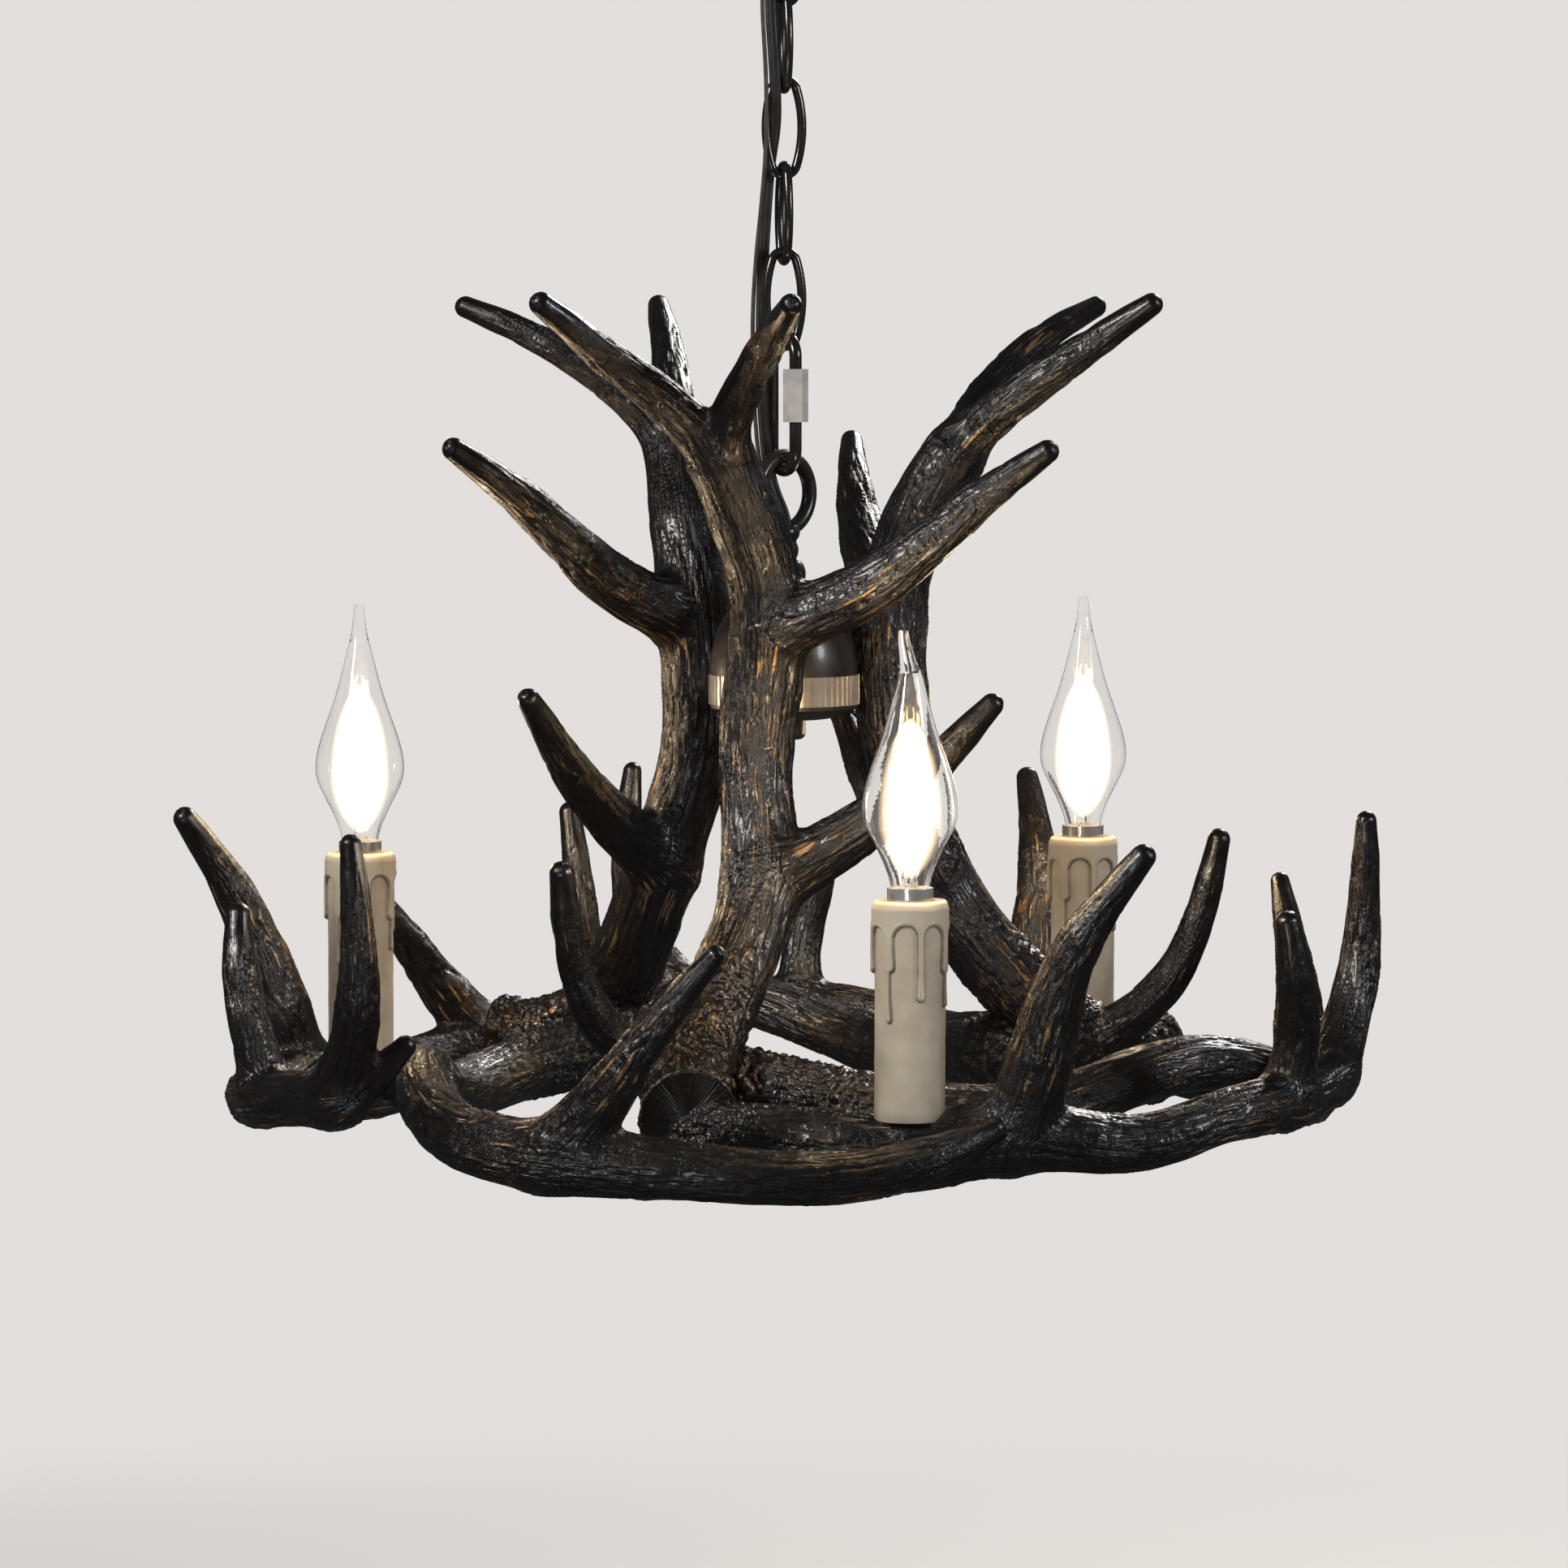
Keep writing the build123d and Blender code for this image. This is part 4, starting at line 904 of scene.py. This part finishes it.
sleeve_places, sleeve_faces, sleeve_painted_shade = sleeve_mesh()
for n in THIRDS:
    sleeve = mesh_piece(f"candle_wax_sleeve_{n + 1}", sleeve_places + seat_place(n), sleeve_faces)
    sleeve.data.attributes.new("painted_shade", "FLOAT", "POINT").data.foreach_set(
        "value", sleeve_painted_shade.astype(np.float32))
    dress(sleeve, wax_paint, "chandelier", f"candle_sleeve_{n + 1}")
print("sleeves", len(THIRDS), "with", len(LEGS), "legs each")

# %% [markdown]
# ## The lamps
# Each lamp is a clear flame-shaped bulb with four lit filaments on a glass stem. The glass is the
# CAD solid itself, with a true wall; the front one's tail leans a little, as it was drawn off by
# hand. A small warm lamp at each bulb's heart stands for the light the filaments throw about.

# %% Lamps
TAIL_START = 0.080
TAIL_LEAN = (-0.0026, 0.0, 0.0)
ROD_COUNT = 4
ROD_CIRCLE = 3.2
ROD_SPREAD = 3.4
ROD_RADIUS = 0.8
ROD_LENGTH = 33.5
ROD_TOP = 62.0
GLASS_BELLY = 29.5
HALO_UP = 36.0
HALO_DOWN = 23.0
HALO_RADIUS = 12.2
HALO_TAPER = 1.3
HALO_OUTLINE = [
    (HALO_RADIUS * math.sin(a) ** HALO_TAPER + 0.01,
     (HALO_UP if a < math.pi / 2 else HALO_DOWN) * math.cos(a))
    for a in np.linspace(0, math.pi, 48)]
HEART_WATTS = 0.6
HEART_COLOUR = (1.0, 0.70, 0.40)
HEART_SIZE = 0.010


for n in THIRDS:
    glass_node = f"bulb_glass_{n + 1}"
    low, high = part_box(glass_node)
    glass_foot = low.z / MM
    mesh = nodes[glass_node].data.copy()
    places = np.zeros(len(mesh.vertices) * 3)
    mesh.vertices.foreach_get("co", places)
    places = places.reshape(-1, 3)
    if n == 0:
        lean = ease(TAIL_START, high.z - low.z, places[:, 2] - low.z)
        places += lean[:, None] * np.array(TAIL_LEAN)
    mesh.vertices.foreach_set("co", places.ravel())
    mesh.update()
    glass = bpy.data.objects.new(f"lamp_glass_{n + 1}", mesh)
    scene.collection.objects.link(glass)
    dress(glass, lamp_glass, f"bulb_{n + 1}", glass_node)

    node = f"bulb_filaments_{n + 1}"
    low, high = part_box(node)
    bottom, top = low.z / MM, high.z / MM
    axis = seat_place(n)
    upright = axis * (1, 1, 0)
    rods, wires = [], []
    rod_top = glass_foot + ROD_TOP
    rod_foot = rod_top - ROD_LENGTH
    for i in range(ROD_COUNT):
        turn = math.radians(45 + 90 * i)
        way = np.array([math.cos(turn), math.sin(turn), 0])
        foot = upright + way * (ROD_CIRCLE + ROD_SPREAD) + (0, 0, rod_foot)
        head = upright + way * ROD_CIRCLE + (0, 0, rod_top)
        line = np.linspace(foot, head, 8)
        rods.append(bar_mesh(*with_ball(line, np.full(8, ROD_RADIUS), both=True), circle(14)))
        hook = upright + (0, 0, top - 0.6)
        wires.append(bar_mesh(np.array([head, head + (0, 0, 1.4), hook]), 0.25, circle(8)))
        base = upright + way * 2.2 + (0, 0, bottom + 14.0)
        wires.append(bar_mesh(np.array([base, (base + foot) / 2 + way * 0.4, foot]), 0.28, circle(8)))
    glow = mesh_piece(f"lamp_filaments_{n + 1}", *together(*rods))
    dress(glow, filament_glow, f"bulb_{n + 1}", node)
    wire = mesh_piece(f"lamp_lead_wires_{n + 1}", *together(*wires))
    dress(wire, bright, f"bulb_{n + 1}", node)
    flare = [(0.05, bottom), (3.6, bottom), (3.0, bottom + 3), (2.4, bottom + 8), (2.7, bottom + 13),
             (2.0, bottom + 15.6), (0.05, bottom + 16)]
    stem = mesh_piece(f"lamp_stem_{n + 1}", *turned_mesh(flare, 40, axis[:2]))
    dress(stem, lamp_glass, f"bulb_{n + 1}", node)

    halo = mesh_piece(f"lamp_halo_{n + 1}", *turned_mesh(HALO_OUTLINE, 48, axis[:2]))
    halo.location.z = (glass_foot + GLASS_BELLY) * MM
    halo.data.materials.append(lamp_halo)
    halo.visible_shadow = halo.visible_diffuse = halo.visible_glossy = False
    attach(halo, f"bulb_{n + 1}")

    heart = bpy.data.lights.new(f"lamp_light_{n + 1}", "POINT")
    heart.energy = HEART_WATTS
    heart.color = HEART_COLOUR
    heart.shadow_soft_size = HEART_SIZE
    source = bpy.data.objects.new(f"lamp_light_{n + 1}", heart)
    source.location = Vector((axis[0], axis[1], (rod_foot + rod_top) / 2)) * MM
    scene.collection.objects.link(source)
    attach(source, f"bulb_{n + 1}")
print("lamps", len(THIRDS))

# %% [markdown]
# ## The cord
# A black flat cord and a thin earth wire come out of the ceiling tube, weave through the links
# and go down the neck. They bend at each link, so each is made in seven lengths, split at the
# middle of every link.

# %% Cord and earth wire
CORD_ROUTE = [
    (1.15, 0, 68.7), (1.15, 0, 33), (-5.6, -4.5, 14.8), (-7.2, -5, -15.5), (-4.6, -4.6, -51.2),
    (-3.2, 0, -66.3), (-4.6, 4.6, -81), (-6.5, 5, -107.5), (-8, 5.2, -139), (-7.8, 4.4, -171),
    (-6.6, 2.6, -193), (-3.9, 1.5, -207.2), (1.15, 0, -219), (1.15, 0.3, -247.5),
]
EARTH_ROUTE = [
    (-2.35, 0, 68.7), (-2.35, 0, 33), (-9, -4.2, 14.8), (-10.4, -5, -15.5), (-8.2, -4.9, -51.2),
    (-8.6, -4.7, -78), (-9.6, -1.5, -98), (-10.4, 3.5, -117), (-11.4, 5.2, -139), (-11.2, 4.4, -171),
    (-10, 2.2, -193), (-7.2, 0.8, -207.2), (-2.35, 0, -219), (-2.35, -0.3, -247.5),
]
CORD_SPLITS = [0.0, -68.8, -104.0, -137.3, -170.6, -203.9, -242.5, -316.4]
CORD_BODIES = ["ceiling", "link_1", "link_2", "link_3", "link_4", "link_5", "quick_link", "chandelier"]
ARC_SHARE = 0.48


def filleted(route):
    """A line of straight runs joined by arcs, with a point about every millimetre."""
    corners = np.array([chain_spot(*place) for place in route])
    line = [corners[0]]
    for before, corner, after in zip(corners, corners[1:], corners[2:]):
        come, go = corner - before, after - corner
        run = ARC_SHARE * min(np.linalg.norm(come), np.linalg.norm(go))
        come, go = unit(come), unit(go)
        turn = math.acos(min(1.0, float(come @ go)))
        radius = run / math.tan(turn / 2)
        inward = unit(go - come * (come @ go))
        start = corner - come * run
        for part in np.linspace(0, turn, 10):
            line.append(start + inward * radius * (1 - math.cos(part)) + come * radius * math.sin(part))
    line.append(corners[-1])
    line = np.array(line)
    marks = np.concatenate([[0], np.cumsum(np.linalg.norm(np.diff(line, axis=0), axis=1))])
    at = np.linspace(0, marks[-1], int(marks[-1]) + 1)
    return np.stack([np.interp(at, marks, line[:, i]) for i in range(3)], axis=1)


def twin_section():
    """Two round cores side by side under one sheath."""
    turn = np.radians(np.linspace(-118, 118, 15))
    right = np.stack([1.0 + 1.2 * np.cos(turn), 1.2 * np.sin(turn)], axis=1)
    return np.vstack([right, -right])


def hang(name, route, section, size, finish, node):
    """A cord in lengths, cut at the given heights between neighbouring bodies."""
    line = filleted(route)
    across = (math.cos(CHAIN_YAW), math.sin(CHAIN_YAW), 0.0)
    heights = line[:, 2]
    for i, (above, below) in enumerate(zip(CORD_BODIES, CORD_BODIES[1:])):
        top, foot = CORD_SPLITS[i], CORD_SPLITS[i + 1]
        first = int(np.argmax(heights <= top + 0.01))
        last = int(np.argmax(heights <= foot + 0.01)) if foot > heights[-1] else len(line) - 1
        part = line[first:last + 1]
        ready = bar_mesh(part, size, section, across, caps=i in (0, len(CORD_BODIES) - 2))
        piece = mesh_piece(f"{name}_{i + 1}", *ready)
        piece.data.materials.append(finish)
        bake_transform(piece)
        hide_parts(node)
    print(name, "in", len(CORD_BODIES) - 1, "lengths")


hang("cord_length", CORD_ROUTE, twin_section(), 1.0, cord_black, "supply_cord")
hang("earth_length", EARTH_ROUTE, circle(14), 0.85, earth_sheath, "earth_wire")

# %% [markdown]
# ## The metalwork
# The ceiling plate, canopy, chain, quick link and hub keep their CAD shapes, which already have
# their true threads, ribs and edges. Each gets the finish of the real piece.

# %% Metalwork
finishes = {
    "steel": steel, "brass_screw": brass, "black_metal": satin_black, "black_gloss": gloss_black,
    "bright_nut": bright, "dark_dome": dark_dome, "bronze_band": band_bronze, "wire_nut": nut_white,
    "holder": holder_cream, "bulb_metal": lamp_metal, "antler": antler_resin,
}
slot_of = {part["node"]: part["material_slot"] for part in frame["record"]["subparts"]}
for name, node in sorted(nodes.items()):
    if not node.hide_render:
        node.data.materials.clear()
        node.data.materials.append(finishes[slot_of[name]])
        print("carried over", name)
